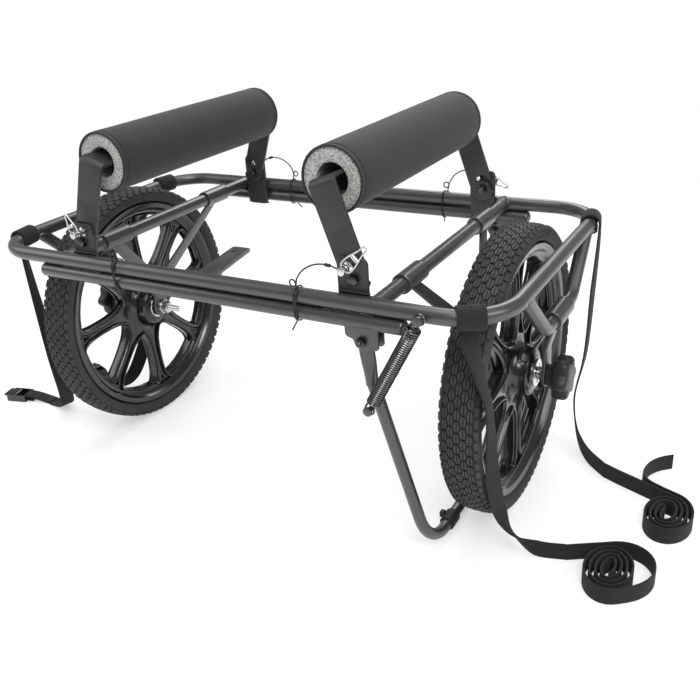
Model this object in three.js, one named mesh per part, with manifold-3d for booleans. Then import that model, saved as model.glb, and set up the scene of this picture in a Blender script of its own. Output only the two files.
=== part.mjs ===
// Kayak cart: a tubular carrier on two spoked wheels, with folding padded bunks, a kickstand and straps.
// Millimetres. +X is the cart's right, +Y its rear, +Z up. The origin is on the floor under its middle.

import * as THREE from "three";
import { mergeVertices } from "three/addons/utils/BufferGeometryUtils.js";
import Module from "manifold-3d";

const wasm = await Module();
wasm.setup();

// Driving dimensions
const gap = 0.3;
const tubeRadius = 10;
const frame = { halfWidth: 398, halfDepth: 223, height: 371, cornerRadius: 70 };
const rail = { height: 349, leftEnd: -298, rightEnd: 290, tabWidth: 57, tabThickness: 6, tabX: 215 };
const wheel = { x: 340, axleHeight: 203, radius: 203, tyreWidth: 54, beadRadius: 178, rimWidth: 42 };
const spoke = { count: 8, phase: 2.5, depth: 25, hubRadius: 54, rimRadius: 159, halfWidth: 8 };
const hub = { halfLength: 35, bore: 17.4, radius: 33, bearingBore: 6.7, flange: 20 };
const axle = { radius: 6, innerEnd: 258, outerEnd: 421, hole: 6.5 };
const bracket = { left: 196, right: 236.5, bottom: 337, top: 423, thickness: 4, corner: 8 };
const bunk = { pivotX: 218, pivotZ: 396, lean: 19, height: 120, width: 37, thickness: 5, pinReach: 17 };
const pad = { outer: 42, foam: 38.5, bore: 21, halfLength: 186, drop: 6 };
const pin = { radius: 3.75, clearance: 0.4, tip: 13, headRadius: 5.5 };
const cross = { x: 248, sleeveInner: 95, sleeveOuter: 150, sleeveRadius: 13.2 };
const dropHoop = { x: 402, top: 140, bottom: 58, height: 296, radius: 9.5, bend: 32 };
const stand = {
  radius: 8,
  pivotX: 234,
  pivotZ: 327,
  kneeX: 239,
  kneeZ: 272,
  footX: 295,
  footZ: 11,
  footY: 187.5,
  bend: 58,
  footPadY: 118,
};
const spring = {
  topX: 314,
  topZ: 372,
  bottomX: 245,
  bottomZ: 243,
  y: -241.5,
  radius: 7.7,
  wire: 1.3,
  curls: 38,
  hook: 6.2,
  stud: 3.6,
};
const strap = { width: 25, thickness: 1.6, floor: 0.4 };
const coil = { pitch: 7.2 };
const buckle = { halfWidth: 15, halfLength: 20, barX: -16, barZ: 7.5, leverX: 6, leverZ: 9 };

// Finishes
const paint = finish(0x2f2f31, 0.45, 0.35);
const darkPaint = finish(0x252527, 0.5, 0.3);
const rubber = finish(0x232324, 0.85, 0);
const plastic = finish(0x1b1b1d, 0.3, 0);
const foam = finish(0x6f706d, 0.95, 0);
const fabric = finish(0x2a2a2c, 0.9, 0);
const webbing = finish(0x232325, 0.85, 0);
const zinc = finish(0xc9cacc, 0.25, 0.9);
const blackSteel = finish(0x1c1c1d, 0.35, 0.8);

const cart = new THREE.Group();

// Short helpers for points, finishes and placed meshes
function at(x, y, z) {
  return new THREE.Vector3(x, y, z);
}

function flat(x, y) {
  return new THREE.Vector2(x, y);
}

function finish(color, roughness, metalness) {
  return new THREE.MeshStandardMaterial({ color, roughness, metalness });
}

function place(name, geometry, material, parent = cart) {
  const mesh = new THREE.Mesh(geometry, material);
  mesh.name = name;
  parent.add(mesh);
  return mesh;
}

function radians(degrees) {
  return THREE.MathUtils.degToRad(degrees);
}

// Joins and cuts of closed geometries
function solid(geometry) {
  const bare = geometry.clone();
  bare.deleteAttribute("normal");
  bare.deleteAttribute("uv");
  const merged = mergeVertices(bare, 1e-3);
  const vertProperties = merged.attributes.position.array;
  const triVerts = new Uint32Array(merged.index.array);
  return new wasm.Manifold(new wasm.Mesh({ numProp: 3, vertProperties, triVerts }));
}

function fromSolid(made) {
  const mesh = made.getMesh();
  const geometry = new THREE.BufferGeometry();
  geometry.setAttribute("position", new THREE.BufferAttribute(mesh.vertProperties, 3));
  geometry.setIndex(new THREE.BufferAttribute(mesh.triVerts, 1));
  return geometry;
}

function join(...parts) {
  return fromSolid(parts.map(solid).reduce((whole, part) => whole.add(part)));
}

function cut(whole, ...tools) {
  return fromSolid(tools.map(solid).reduce((left, tool) => left.subtract(tool), solid(whole)));
}

// A bent tube's centreline, with a ring at each end of a straight run and every few degrees round a bend
class BentRoute extends THREE.Curve {
  constructor(corners, bendRadius, stepsPerBend = 5) {
    super();
    const directions = corners.slice(1).map((corner, i) => corner.clone().sub(corners[i]).normalize());
    this.stations = [{ point: corners[0], tangent: directions[0] }];
    for (let i = 1; i < corners.length - 1; i++) {
      this.addBend(corners[i], directions[i - 1], directions[i], bendRadius, stepsPerBend);
    }
    this.stations.push({ point: corners.at(-1), tangent: directions.at(-1) });
  }

  addBend(corner, into, out, bendRadius, steps) {
    const turn = into.angleTo(out);
    const axis = into.clone().cross(out).normalize();
    const start = corner.clone().addScaledVector(into, -bendRadius * Math.tan(turn / 2));
    const centre = axis.clone().cross(into).multiplyScalar(bendRadius).add(start);
    for (let k = 0; k <= steps; k++) {
      const angle = (turn * k) / steps;
      const point = start.clone().sub(centre).applyAxisAngle(axis, angle).add(centre);
      this.stations.push({ point, tangent: into.clone().applyAxisAngle(axis, angle) });
    }
  }

  station(u) {
    return this.stations[Math.round(u * (this.stations.length - 1))];
  }

  getPointAt(u) {
    return this.station(u).point.clone();
  }

  getTangentAt(u) {
    return this.station(u).tangent.clone();
  }
}

function tube(route, radius, sides = 12) {
  const section = new THREE.Shape(ring(radius, sides));
  return new THREE.ExtrudeGeometry(section, { steps: route.stations.length - 1, extrudePath: route });
}

function ring(radius, sides) {
  return Array.from({ length: sides }, (_, i) => {
    const angle = (2 * Math.PI * i) / sides;
    return flat(radius * Math.cos(angle), radius * Math.sin(angle));
  });
}

function rod(from, to, radius, sides = 12) {
  const along = to.clone().sub(from);
  const geometry = new THREE.CylinderGeometry(radius, radius, along.length(), sides);
  geometry.applyQuaternion(new THREE.Quaternion().setFromUnitVectors(at(0, 1, 0), along.normalize()));
  const middle = from.clone().add(to).multiplyScalar(0.5);
  return geometry.translate(middle.x, middle.y, middle.z);
}

// Revolves: a profile of [radius, distance] pairs turned about the X or the Y axis
function turnedAboutY(profile, segments) {
  return new THREE.LatheGeometry(profile.map(([r, d]) => flat(r, d)), segments);
}

function turnedAboutX(profile, segments) {
  return turnedAboutY(profile, segments).rotateZ(-Math.PI / 2);
}

function closed(profile) {
  return [...profile, profile[0]];
}

// Plates: an outline in X and Z with its thickness along Y, or in Y and Z with its thickness along X
function plateAcrossY(outline, y, thickness, curveSegments = 6) {
  const settings = { depth: thickness, bevelEnabled: false, curveSegments };
  const geometry = new THREE.ExtrudeGeometry(outline, settings);
  return geometry.rotateX(Math.PI / 2).translate(0, y + thickness, 0);
}

function plateAcrossX(outline, x, thickness, curveSegments = 6) {
  const settings = { depth: thickness, bevelEnabled: false, curveSegments };
  const geometry = new THREE.ExtrudeGeometry(outline, settings);
  const turn = new THREE.Matrix4().makeBasis(at(0, 1, 0), at(0, 0, 1), at(1, 0, 0));
  return geometry.applyMatrix4(turn).translate(x, 0, 0);
}

function roundedBox(left, bottom, right, top, corner) {
  const outline = new THREE.Shape();
  outline.absarc(right - corner, bottom + corner, corner, -Math.PI / 2, 0);
  outline.absarc(right - corner, top - corner, corner, 0, Math.PI / 2);
  outline.absarc(left + corner, top - corner, corner, Math.PI / 2, Math.PI);
  outline.absarc(left + corner, bottom + corner, corner, Math.PI, 1.5 * Math.PI);
  return outline;
}

function roundHole(x, y, radius) {
  return new THREE.Path().absarc(x, y, radius, 0, 2 * Math.PI, true);
}

// A solid swept through rings of points that have the same count, with a flat cap on each end
function swept(rings) {
  const sides = rings[0].length;
  const index = [];
  for (let i = 0; i < rings.length - 1; i++) {
    for (let k = 0; k < sides; k++) {
      const a = i * sides + k;
      const b = i * sides + ((k + 1) % sides);
      index.push(a, b, b + sides, a, b + sides, a + sides);
    }
  }
  const last = (rings.length - 1) * sides;
  for (let k = 1; k < sides - 1; k++) {
    index.push(0, k + 1, k);
    index.push(last, last + k, last + k + 1);
  }
  const geometry = new THREE.BufferGeometry().setFromPoints(rings.flat());
  geometry.setIndex(index);
  return geometry;
}

// Rings of a round wire that follows points, turned no more than its path turns
function wireRings(points, radius, sides) {
  const normal = at(0.31, 0.17, 0.93);
  return points.map((point, i) => {
    const tangent = tangentAt(points, i);
    normal.addScaledVector(tangent, -normal.dot(tangent)).normalize();
    const side = tangent.clone().cross(normal);
    return ring(radius, sides).map((p) =>
      point.clone().addScaledVector(normal, p.x).addScaledVector(side, p.y));
  });
}

function tangentAt(points, i) {
  const before = points[Math.max(i - 1, 0)];
  const after = points[Math.min(i + 1, points.length - 1)];
  return after.clone().sub(before).normalize();
}

// Rings of a flat strap that follows points, its width lying along the direction given at each of them
function strapRings(points, widths) {
  const halfWidth = strap.width / 2;
  const halfThickness = strap.thickness / 2;
  const corners = [[-1, -1], [1, -1], [1, 1], [-1, 1]];
  return points.map((point, i) => {
    const tangent = tangentAt(points, i);
    const across = widths[i].clone();
    across.addScaledVector(tangent, -across.dot(tangent)).normalize();
    const face = tangent.clone().cross(across);
    return corners.map(([a, b]) =>
      point.clone().addScaledVector(across, a * halfWidth).addScaledVector(face, b * halfThickness));
  });
}

// The least distance between stretches of a line that lie further apart along it than the reach given
function leastGap(points, reach, thickness) {
  const along = [0];
  points.slice(1).forEach((point, i) => along.push(along[i] + point.distanceTo(points[i])));
  let least = Infinity;
  points.forEach((a, i) => {
    points.slice(i + 1).forEach((b, k) => {
      if (along[i + 1 + k] - along[i] > reach) {
        least = Math.min(least, a.distanceTo(b));
      }
    });
  });
  return least - thickness;
}

// The upper hoop: two bent halves that meet in the middle of the left and right sides
function upperHoop() {
  const { halfWidth, halfDepth, height, cornerRadius } = frame;
  const overlap = 1;
  const halves = [-1, 1].map((side) => {
    const corners = [
      at(-halfWidth, -side * overlap, height),
      at(-halfWidth, side * halfDepth, height),
      at(halfWidth, side * halfDepth, height),
      at(halfWidth, -side * overlap, height),
    ];
    return tube(new BentRoute(corners, cornerRadius, 4), tubeRadius);
  });
  return join(...halves, springStud(spring.topX, spring.topZ, -halfDepth));
}

// A headed stud that one end of the kickstand's spring hooks round
function springStud(x, z, fromY) {
  const head = spring.y - 4.5;
  return join(
    rod(at(x, fromY, z), at(x, head - 1, z), spring.stud, 10),
    rod(at(x, head, z), at(x, head - 3, z), spring.stud + 2.4, 10),
  );
}

// A lower rail with its plugged round ends, its weld tabs up to the hoop and the kickstand's two cheeks
function lowerRail(side) {
  const { height, leftEnd, rightEnd, tabWidth, tabThickness, tabX } = rail;
  const y = side * frame.halfDepth;
  const plug = 4;
  const profile = [
    [0, leftEnd],
    [tubeRadius - plug, leftEnd],
    [tubeRadius, leftEnd + plug],
    [tubeRadius, rightEnd - plug],
    [tubeRadius - plug, rightEnd],
    [0, rightEnd],
  ];
  const bar = turnedAboutX(profile, 16).translate(0, y, height);
  const tabHeight = frame.height - height - tubeRadius - gap;
  const tabs = [-tabX, tabX].map((x) => {
    const tab = new THREE.BoxGeometry(tabWidth, tabThickness, tabHeight);
    return tab.translate(x, y, height + tabHeight / 2);
  });
  const hoopSeat = rod(at(-400, y, frame.height), at(400, y, frame.height), tubeRadius + gap, 16);
  return join(cut(join(bar, ...tabs), hoopSeat), ...standCheeks(y));
}

function standCheeks(y) {
  const spacing = 5.4;
  const thickness = 3.2;
  const outline = new THREE.Shape();
  outline.moveTo(212, rail.height - 4);
  outline.lineTo(212, 330);
  outline.lineTo(224, 328);
  outline.absarc(stand.pivotX, stand.pivotZ - 2, 10, Math.PI, 2 * Math.PI);
  outline.lineTo(256, 326);
  outline.lineTo(256, rail.height - 4);
  outline.holes.push(roundHole(stand.pivotX, stand.pivotZ, 4.4));
  return [y - spacing - thickness, y + spacing].map((near) => plateAcrossY(outline, near, thickness, 4));
}

// A bracket plate welded to the rails' inner side, with holes for a bunk's pivot bolt and lock pin
function bunkBracket(y) {
  const { left, right, bottom, top, corner, thickness } = bracket;
  const outline = roundedBox(left, bottom, right, top, corner);
  const pinHole = lockPinPlace();
  outline.holes.push(roundHole(bunk.pivotX, bunk.pivotZ, 4.4));
  outline.holes.push(roundHole(pinHole.x, pinHole.z, pin.radius + pin.clearance));
  return plateAcrossY(outline, y, thickness, 5);
}

function lockPinPlace() {
  const lean = radians(bunk.lean);
  return at(bunk.pivotX - bunk.pinReach * Math.sin(lean), 0, bunk.pivotZ + bunk.pinReach * Math.cos(lean));
}

// A cross tube beside a wheel, its ends shaped to the hoop that they are welded to
function crossTube() {
  const reach = frame.halfDepth - 4;
  const seats = [-1, 1].map((side) => {
    const y = side * frame.halfDepth;
    return rod(at(cross.x - 30, y, frame.height), at(cross.x + 30, y, frame.height), tubeRadius + gap, 16);
  });
  const bar = rod(at(cross.x, -reach, frame.height), at(cross.x, reach, frame.height), tubeRadius, 16);
  return cut(bar, ...seats);
}

// The inner strut: two sleeves on the cross tube, a slanting V of flat bar and an upright foot on the axle
function innerStrut() {
  const plateThickness = 4;
  const footFace = 296;
  const kneeZ = 236;
  const slant = at(footFace + plateThickness / 2 - cross.x, 0, kneeZ - frame.height);
  const reach = slant.length();
  const outline = new THREE.Shape([
    flat(-134, 12),
    flat(-12, reach),
    flat(12, reach),
    flat(134, 12),
    flat(111, 12),
    flat(3, reach - 30),
    flat(-3, reach - 30),
    flat(-111, 12),
  ]);
  const arms = new THREE.ExtrudeGeometry(outline, { depth: plateThickness, bevelEnabled: false });
  const down = slant.clone().normalize();
  const across = at(0, 1, 0);
  arms.translate(0, 0, -plateThickness / 2);
  arms.applyMatrix4(new THREE.Matrix4().makeBasis(across, down, across.clone().cross(down)));
  arms.translate(cross.x, 0, frame.height);
  const foot = new THREE.Shape();
  foot.absarc(0, wheel.axleHeight, 17, Math.PI, 2 * Math.PI);
  foot.lineTo(12, kneeZ + 2);
  foot.lineTo(-12, kneeZ + 2);
  foot.holes.push(roundHole(0, wheel.axleHeight, axle.hole));
  const sleeves = [-1, 1].map((side) => {
    const from = at(cross.x, side * cross.sleeveInner, frame.height);
    const to = at(cross.x, side * cross.sleeveOuter, frame.height);
    return rod(from, to, cross.sleeveRadius, 12);
  });
  const bore = rod(at(cross.x, -160, frame.height), at(cross.x, 160, frame.height), tubeRadius + gap, 16);
  return cut(join(arms, plateAcrossX(foot, footFace, plateThickness), ...sleeves), bore);
}

// The drop hoop outside a wheel, its ends shaped to the side rail
function dropHoopTube() {
  const { x, top, bottom, height, radius, bend } = dropHoop;
  const corners = [
    at(frame.halfWidth, -top, frame.height),
    at(x, -bottom, height),
    at(x, bottom, height),
    at(frame.halfWidth, top, frame.height),
  ];
  const side = at(frame.halfWidth, 0, frame.height);
  const seat = rod(side.clone().setY(-170), side.clone().setY(170), tubeRadius + gap, 16);
  return cut(tube(new BentRoute(corners, bend, 4), radius), seat);
}

// The outer strut: a sleeve on the drop hoop and a flat bar, bent once, down to the axle
function outerStrut() {
  const { x, height, radius } = dropHoop;
  const sleeveHalf = 30;
  const thickness = 5;
  const face = 386.5;
  const kneeZ = 244;
  const sleeve = rod(at(x, -sleeveHalf, height), at(x, sleeveHalf, height), 13, 16);
  const bore = rod(at(x, -40, height), at(x, 40, height), radius + gap, 16);
  const slant = at(face + thickness / 2 - x, 0, kneeZ - height);
  const bar = new THREE.BoxGeometry(thickness, 28, slant.length() + 2);
  bar.translate(0, 0, -slant.length() / 2 - 1);
  bar.rotateY(Math.atan2(slant.x, slant.z) + Math.PI);
  bar.translate(x, 0, height);
  const foot = new THREE.Shape();
  foot.absarc(0, wheel.axleHeight, 17, Math.PI, 2 * Math.PI);
  foot.lineTo(14, kneeZ + 1);
  foot.lineTo(-14, kneeZ + 1);
  foot.holes.push(roundHole(0, wheel.axleHeight, axle.hole));
  return cut(join(sleeve, bar, plateAcrossX(foot, face, thickness)), bore);
}

// The axle bolt with its nut, washer and spacers, from the inner strut to the knob
function axleBolt() {
  const { radius, innerEnd, outerEnd } = axle;
  const hubFace = wheel.x - hub.halfLength - 2.5;
  const outerFace = wheel.x + hub.halfLength + 2.5;
  const profile = [
    [0, innerEnd],
    [radius - 1, innerEnd],
    [radius, innerEnd + 1],
    [radius, 289],
    [12, 289],
    [12, 296 - gap],
    [radius, 296 - gap],
    [radius, 300 + gap],
    [9, 300 + gap],
    [9, hubFace - gap],
    [radius, hubFace - gap],
    [radius, outerFace + gap],
    [9, outerFace + gap],
    [9, 386.5 - gap],
    [radius, 386.5 - gap],
    [radius, outerEnd],
    [0, outerEnd],
  ];
  const nut = rod(at(279, 0, 0), at(289.5, 0, 0), 10.5, 6);
  return join(turnedAboutX(profile, 10), nut).translate(0, 0, wheel.axleHeight);
}

// A spoked wheel about its own X axis: hub, eight Y-ended spokes with a channel in each face, and rim
function spokedWheel() {
  const halfRim = wheel.rimWidth / 2;
  const rim = turnedAboutX(closed([
    [wheel.beadRadius, -halfRim],
    [wheel.beadRadius, halfRim],
    [168, halfRim],
    [160, 12],
    [160, -12],
    [168, -halfRim],
  ]), 40);
  const barrel = turnedAboutX(closed([
    [hub.radius - 2, -hub.halfLength],
    [hub.radius + 1, -20],
    [48, -12],
    [48, 12],
    [hub.radius + 1, 20],
    [hub.radius - 2, hub.halfLength],
    [hub.bore, hub.halfLength],
    [hub.bore, -hub.halfLength],
  ]), 16);
  const web = new THREE.Shape(ring(spoke.rimRadius + 4, 40));
  for (let k = 0; k < spoke.count; k++) {
    web.holes.push(windowBetweenSpokes(k), holeAtRim(k));
  }
  web.holes.push(new THREE.Path(ring(40, 16)));
  const spokes = plateAcrossX(web, -spoke.depth / 2, spoke.depth, 3);
  return join(cut(spokes, ...channels()), rim, barrel);
}

function spokeAngle(k) {
  return radians(spoke.phase + (360 / spoke.count) * k);
}

function spokeHalfWidth(r) {
  const flareAtHub = 12 * Math.exp(-(r - spoke.hubRadius) / 13);
  const flareAtRim = 12 * Math.exp(-(spoke.rimRadius - r) / 13);
  return spoke.halfWidth + flareAtHub + flareAtRim;
}

function windowBetweenSpokes(k) {
  const radii = [54, 66, 100, 146, 158];
  const edge = (angle, side) => radii.map((r) => {
    const turned = angle + side * Math.asin(spokeHalfWidth(r) / r);
    return flat(r * Math.cos(turned), r * Math.sin(turned));
  });
  const near = edge(spokeAngle(k), 1);
  const far = edge(spokeAngle(k + 1), -1).reverse();
  return new THREE.Path([...near, ...far]);
}

function holeAtRim(k) {
  const corners = [[139, 0], [154, 5.5], [154, -5.5]];
  const angle = spokeAngle(k);
  return new THREE.Path(corners.map(([r, side]) => flat(r, side).rotateAround(flat(0, 0), angle)));
}

function channels() {
  const depth = 5;
  const outline = new THREE.Shape();
  outline.absarc(70, 0, 4.5, Math.PI / 2, 1.5 * Math.PI);
  outline.absarc(124, 0, 3, -Math.PI / 2, Math.PI / 2);
  return Array.from({ length: 2 * spoke.count }, (_, i) => {
    const x = i < spoke.count ? spoke.depth / 2 - depth : -spoke.depth / 2 - 1;
    return plateAcrossX(outline, x, depth + 1, 2).rotateX(spokeAngle(i % spoke.count));
  });
}

// A tyre whose shoulder and crown rows stand out in turn, as blocks of tread
function tyre() {
  const half = wheel.tyreWidth / 2;
  const seat = wheel.beadRadius + 0.6;
  const treadFrom = 193;
  const blockHeight = 2.2;
  const segments = 46;
  const profile = [
    [seat, -18],
    [185, -half],
    [195, -half + 1],
    [200.2, -20],
    [wheel.radius - 1, -9],
    [wheel.radius, 0],
    [wheel.radius - 1, 9],
    [200.2, 20],
    [195, half - 1],
    [185, half],
    [seat, 18],
  ];
  const geometry = turnedAboutX(closed(profile), segments);
  const position = geometry.getAttribute("position");
  for (let i = 0; i < position.count; i++) {
    const r = Math.hypot(position.getY(i), position.getZ(i));
    const row = Math.round(position.getX(i) / 9.5);
    const step = Math.round((Math.atan2(position.getY(i), position.getZ(i)) * segments) / (2 * Math.PI));
    if (r > treadFrom && (Math.abs(row) + Math.abs(step)) % 2 === 0) {
      const scale = (r - blockHeight) / r;
      position.setY(i, position.getY(i) * scale);
      position.setZ(i, position.getZ(i) * scale);
    }
  }
  return geometry;
}

// A bearing cartridge with a flange over each hub face
function hubBearing() {
  const { halfLength, bore, bearingBore, flange } = hub;
  const end = halfLength + 2.5;
  return turnedAboutX(closed([
    [bearingBore, end],
    [bearingBore, -end],
    [flange, -end],
    [flange, -halfLength - gap],
    [bore - gap, -halfLength - gap],
    [bore - gap, halfLength + gap],
    [flange, halfLength + gap],
    [flange, end],
  ]), 16);
}

// The lobed knob that clamps the outer strut on the axle
function knob() {
  const lobes = 6;
  const points = 24;
  const outline = new THREE.Shape(Array.from({ length: points }, (_, i) => {
    const angle = (2 * Math.PI * i) / points;
    const radius = 29 + 3.5 * Math.cos(lobes * angle);
    return flat(radius * Math.cos(angle), radius * Math.sin(angle));
  }));
  const grip = new THREE.ExtrudeGeometry(outline, {
    depth: 22,
    bevelThickness: 3,
    bevelSize: 3,
    bevelOffset: -3,
    bevelSegments: 1,
  });
  const turn = new THREE.Matrix4().makeBasis(at(0, 1, 0), at(0, 0, 1), at(1, 0, 0));
  grip.applyMatrix4(turn).translate(402, 0, 0);
  const collar = rod(at(391.5 + gap, 0, 0), at(400, 0, 0), 15, 16);
  const bore = rod(at(380, 0, 0), at(440, 0, 0), axle.hole, 12);
  return cut(join(grip, collar), bore).translate(0, 0, wheel.axleHeight);
}

// A bunk's bar about its pivots: flat bar bent to a staple, with a curved slot that clears the lock pin
function bunkBar() {
  const { width, height, thickness, pinReach } = bunk;
  const outer = frame.halfDepth - tubeRadius - bracket.thickness - 2 * gap;
  const inner = outer - thickness;
  const crown = height + thickness / 2;
  const bendOuter = 9;
  const bendInner = bendOuter - thickness;
  const below = -25;
  const staple = new THREE.Shape();
  staple.moveTo(-inner, below);
  staple.absarc(-inner + bendInner, crown - thickness - bendInner, bendInner, Math.PI, Math.PI / 2, true);
  staple.absarc(inner - bendInner, crown - thickness - bendInner, bendInner, Math.PI / 2, 0, true);
  staple.lineTo(inner, below);
  staple.lineTo(outer, below);
  staple.absarc(outer - bendOuter, crown - bendOuter, bendOuter, 0, Math.PI / 2);
  staple.absarc(-outer + bendOuter, crown - bendOuter, bendOuter, Math.PI / 2, Math.PI);
  staple.lineTo(-outer, below);
  const foot = new THREE.Shape();
  foot.absarc(0, 0, width / 2, Math.PI, 2 * Math.PI);
  foot.lineTo(width / 2, crown + 10);
  foot.lineTo(-width / 2, crown + 10);
  const bar = solid(plateAcrossX(staple, -width / 2, width, 3));
  const rounded = bar.intersect(solid(plateAcrossY(foot, -outer - 5, 2 * outer + 10, 6)));
  const clearance = pin.radius + pin.clearance;
  const slot = new THREE.Shape();
  slot.absarc(0, 0, pinReach + clearance, radians(-18), Math.PI / 2);
  slot.absarc(0, pinReach, clearance, Math.PI / 2, 1.5 * Math.PI);
  slot.absarc(0, 0, pinReach - clearance, Math.PI / 2, radians(-18), true);
  const slots = plateAcrossY(slot, -outer - 5, 2 * outer + 10, 6);
  const pivots = rod(at(0, -outer - 5, 0), at(0, outer + 5, 0), 4.4, 12);
  return cut(fromSolid(rounded), slots, pivots);
}

// A pad on the bar: a thick foam tube in a fabric sleeve whose hems turn in over the foam's ends
function padFoam() {
  const end = pad.halfLength - 3;
  const profile = [[pad.bore, end], [pad.bore, -end], [pad.foam, -end], [pad.foam, end]];
  return turnedAboutY(closed(profile), 18);
}

function padSleeve() {
  const end = pad.halfLength;
  const hem = 3;
  return turnedAboutY(closed([
    [pad.foam - 3, -end + hem - gap],
    [pad.foam - 3, -end],
    [pad.outer - 2, -end],
    [pad.outer, -end + 2.5],
    [pad.outer, end - 2.5],
    [pad.outer - 2, end],
    [pad.foam - 3, end],
    [pad.foam - 3, end - hem + gap],
    [pad.foam + gap, end - hem + gap],
    [pad.foam + gap, -end + hem - gap],
  ]), 18);
}

// A bolt along Y through two faces, with its head on the first and a nut and spare thread on the other
function hexBolt(x, z, fromY, toY, head, shank) {
  const way = Math.sign(toY - fromY);
  const length = 5.5;
  return join(
    rod(at(x, fromY - way * length, z), at(x, fromY, z), head, 6),
    rod(at(x, fromY - way, z), at(x, toY + way * (length + 3), z), shank, 8),
    rod(at(x, toY, z), at(x, toY + way * length, z), head, 6),
  );
}

// A lock pin along Y from the bracket's outer face, with a wire bail and its ribbed roller
function lockPin(tilt) {
  const { radius, tip, headRadius } = pin;
  const body = turnedAboutY([
    [0, -tip],
    [radius - 1, -tip],
    [radius, 1.5 - tip],
    [radius, gap],
    [headRadius + 1, gap],
    [headRadius + 1, 3],
    [3.2, 5],
    [headRadius, 8],
    [headRadius, 21],
    [0, 21],
  ], 8);
  const bail = new THREE.CatmullRomCurve3([
    at(4, 14, 0),
    at(8.5, 14.5, 5),
    at(9.5, 15, 14),
    at(8, 15.5, 24),
    at(0, 16, 26),
    at(-8, 15.5, 24),
    at(-9.5, 15, 14),
    at(-8.5, 14.5, 5),
    at(-4, 14, 0),
  ]);
  const wire = swept(wireRings(bail.getSpacedPoints(10), 1.5, 4));
  const roller = rod(at(-6.5, 16, 26), at(6.5, 16, 26), 3.6, 7);
  const grip = join(wire, roller).rotateY(tilt);
  return join(body, grip);
}

// A pin's lanyard: one wire from beside the pin, round both rails and back on itself
function lanyard(pinX, loopX, side) {
  const front = side * (frame.halfDepth + tubeRadius + 2.6);
  const back = side * (frame.halfDepth - tubeRadius - 2.6);
  const top = frame.height + tubeRadius + 3;
  const bottom = rail.height - tubeRadius - 3;
  const way = Math.sign(pinX - loopX);
  const route = new THREE.CatmullRomCurve3([
    at(pinX - way * 12, side * 226, 412),
    at(pinX - way * 26, side * 229, 418),
    at(loopX + way * 12, side * 232, 405),
    at(loopX, front, top - 4),
    at(loopX, front, 360),
    at(loopX, front, bottom + 4),
    at(loopX, side * 223, bottom - 1),
    at(loopX, back, bottom + 5),
    at(loopX, back, 360),
    at(loopX, back, top - 6),
    at(loopX - way * 2, side * 218, top + 2),
    at(loopX - way * 5, side * 229, top + 1),
    at(loopX - way * 7, front, top - 14),
  ]);
  return swept(wireRings(route.getSpacedPoints(15), 1, 4));
}

// The tow plate: a flat bar with a hole, bent down behind the front rails
function towPlate() {
  const face = -frame.halfDepth + tubeRadius + gap;
  const outline = new THREE.Shape([
    flat(-16, face),
    flat(16, face),
    flat(-1, -117),
    flat(-6, -112),
    flat(-26, -112),
    flat(-31, -117),
  ]);
  outline.holes.push(roundHole(-17, -131, 5));
  const tongue = new THREE.ExtrudeGeometry(outline, { depth: 4, bevelEnabled: false, curveSegments: 5 });
  tongue.translate(0, 0, 374);
  const flange = plateAcrossY(roundedBox(-16, 341, 16, 378, 4), face, 4, 2);
  return join(tongue, flange);
}

// The kickstand: a bent tube with flattened tops, its pivot eyes and the stud for its spring
function kickstand() {
  const { radius, kneeX, kneeZ, footX, footZ, footY, bend } = stand;
  const kneeY = frame.halfDepth - 3;
  const corners = [
    at(kneeX, -kneeY, kneeZ),
    at(footX, -footY, footZ),
    at(footX, footY, footZ),
    at(kneeX, kneeY, kneeZ),
  ];
  const legs = tube(new BentRoute(corners, bend, 7), radius, 10);
  const stud = springStud(spring.bottomX, spring.bottomZ, -frame.halfDepth + 6);
  return cut(join(legs, flattenedTop(-1), flattenedTop(1), stud), ...[-1, 1].map(pivotHole));
}

function flattenedTop(side) {
  const { pivotX, pivotZ, kneeX, kneeZ } = stand;
  const sections = [
    { z: pivotZ + 9, halfWidth: 3.5, halfDepth: 2.5 },
    { z: pivotZ + 6.5, halfWidth: 7, halfDepth: 2.5 },
    { z: pivotZ, halfWidth: 10, halfDepth: 2.5 },
    { z: pivotZ - 20, halfWidth: 10.8, halfDepth: 2.7 },
    { z: pivotZ - 34, halfWidth: 9.8, halfDepth: 4.5 },
    { z: kneeZ, halfWidth: 8.1, halfDepth: 7.7 },
    { z: kneeZ - 5, halfWidth: 7.9, halfDepth: 7.5 },
  ];
  const top = frame.halfDepth;
  return swept(sections.map(({ z, halfWidth, halfDepth }) => {
    const x = THREE.MathUtils.mapLinear(z, pivotZ, kneeZ, pivotX, kneeX);
    const y = side * THREE.MathUtils.mapLinear(z, pivotZ, kneeZ, top, top - 3);
    return ring(1, 10).map((p) => at(x + halfWidth * p.x, y - halfDepth * p.y, z));
  }));
}

function pivotHole(side) {
  const y = side * frame.halfDepth;
  return rod(at(stand.pivotX, y - 9, stand.pivotZ), at(stand.pivotX, y + 9, stand.pivotZ), 4.4, 12);
}

// A rubber foot clipped round the kickstand's bar
function standFoot(side) {
  const { radius, footX, footZ, footPadY } = stand;
  const y = side * footPadY;
  const outer = rod(at(footX, y - 12, footZ), at(footX, y + 12, footZ), radius + 2.8, 12);
  const bore = rod(at(footX, y - 20, footZ), at(footX, y + 20, footZ), radius + gap, 16);
  const lug = new THREE.BoxGeometry(8, 9, 10).translate(footX - 10.5, y, footZ + 6);
  return cut(join(outer, lug), bore);
}

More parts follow.
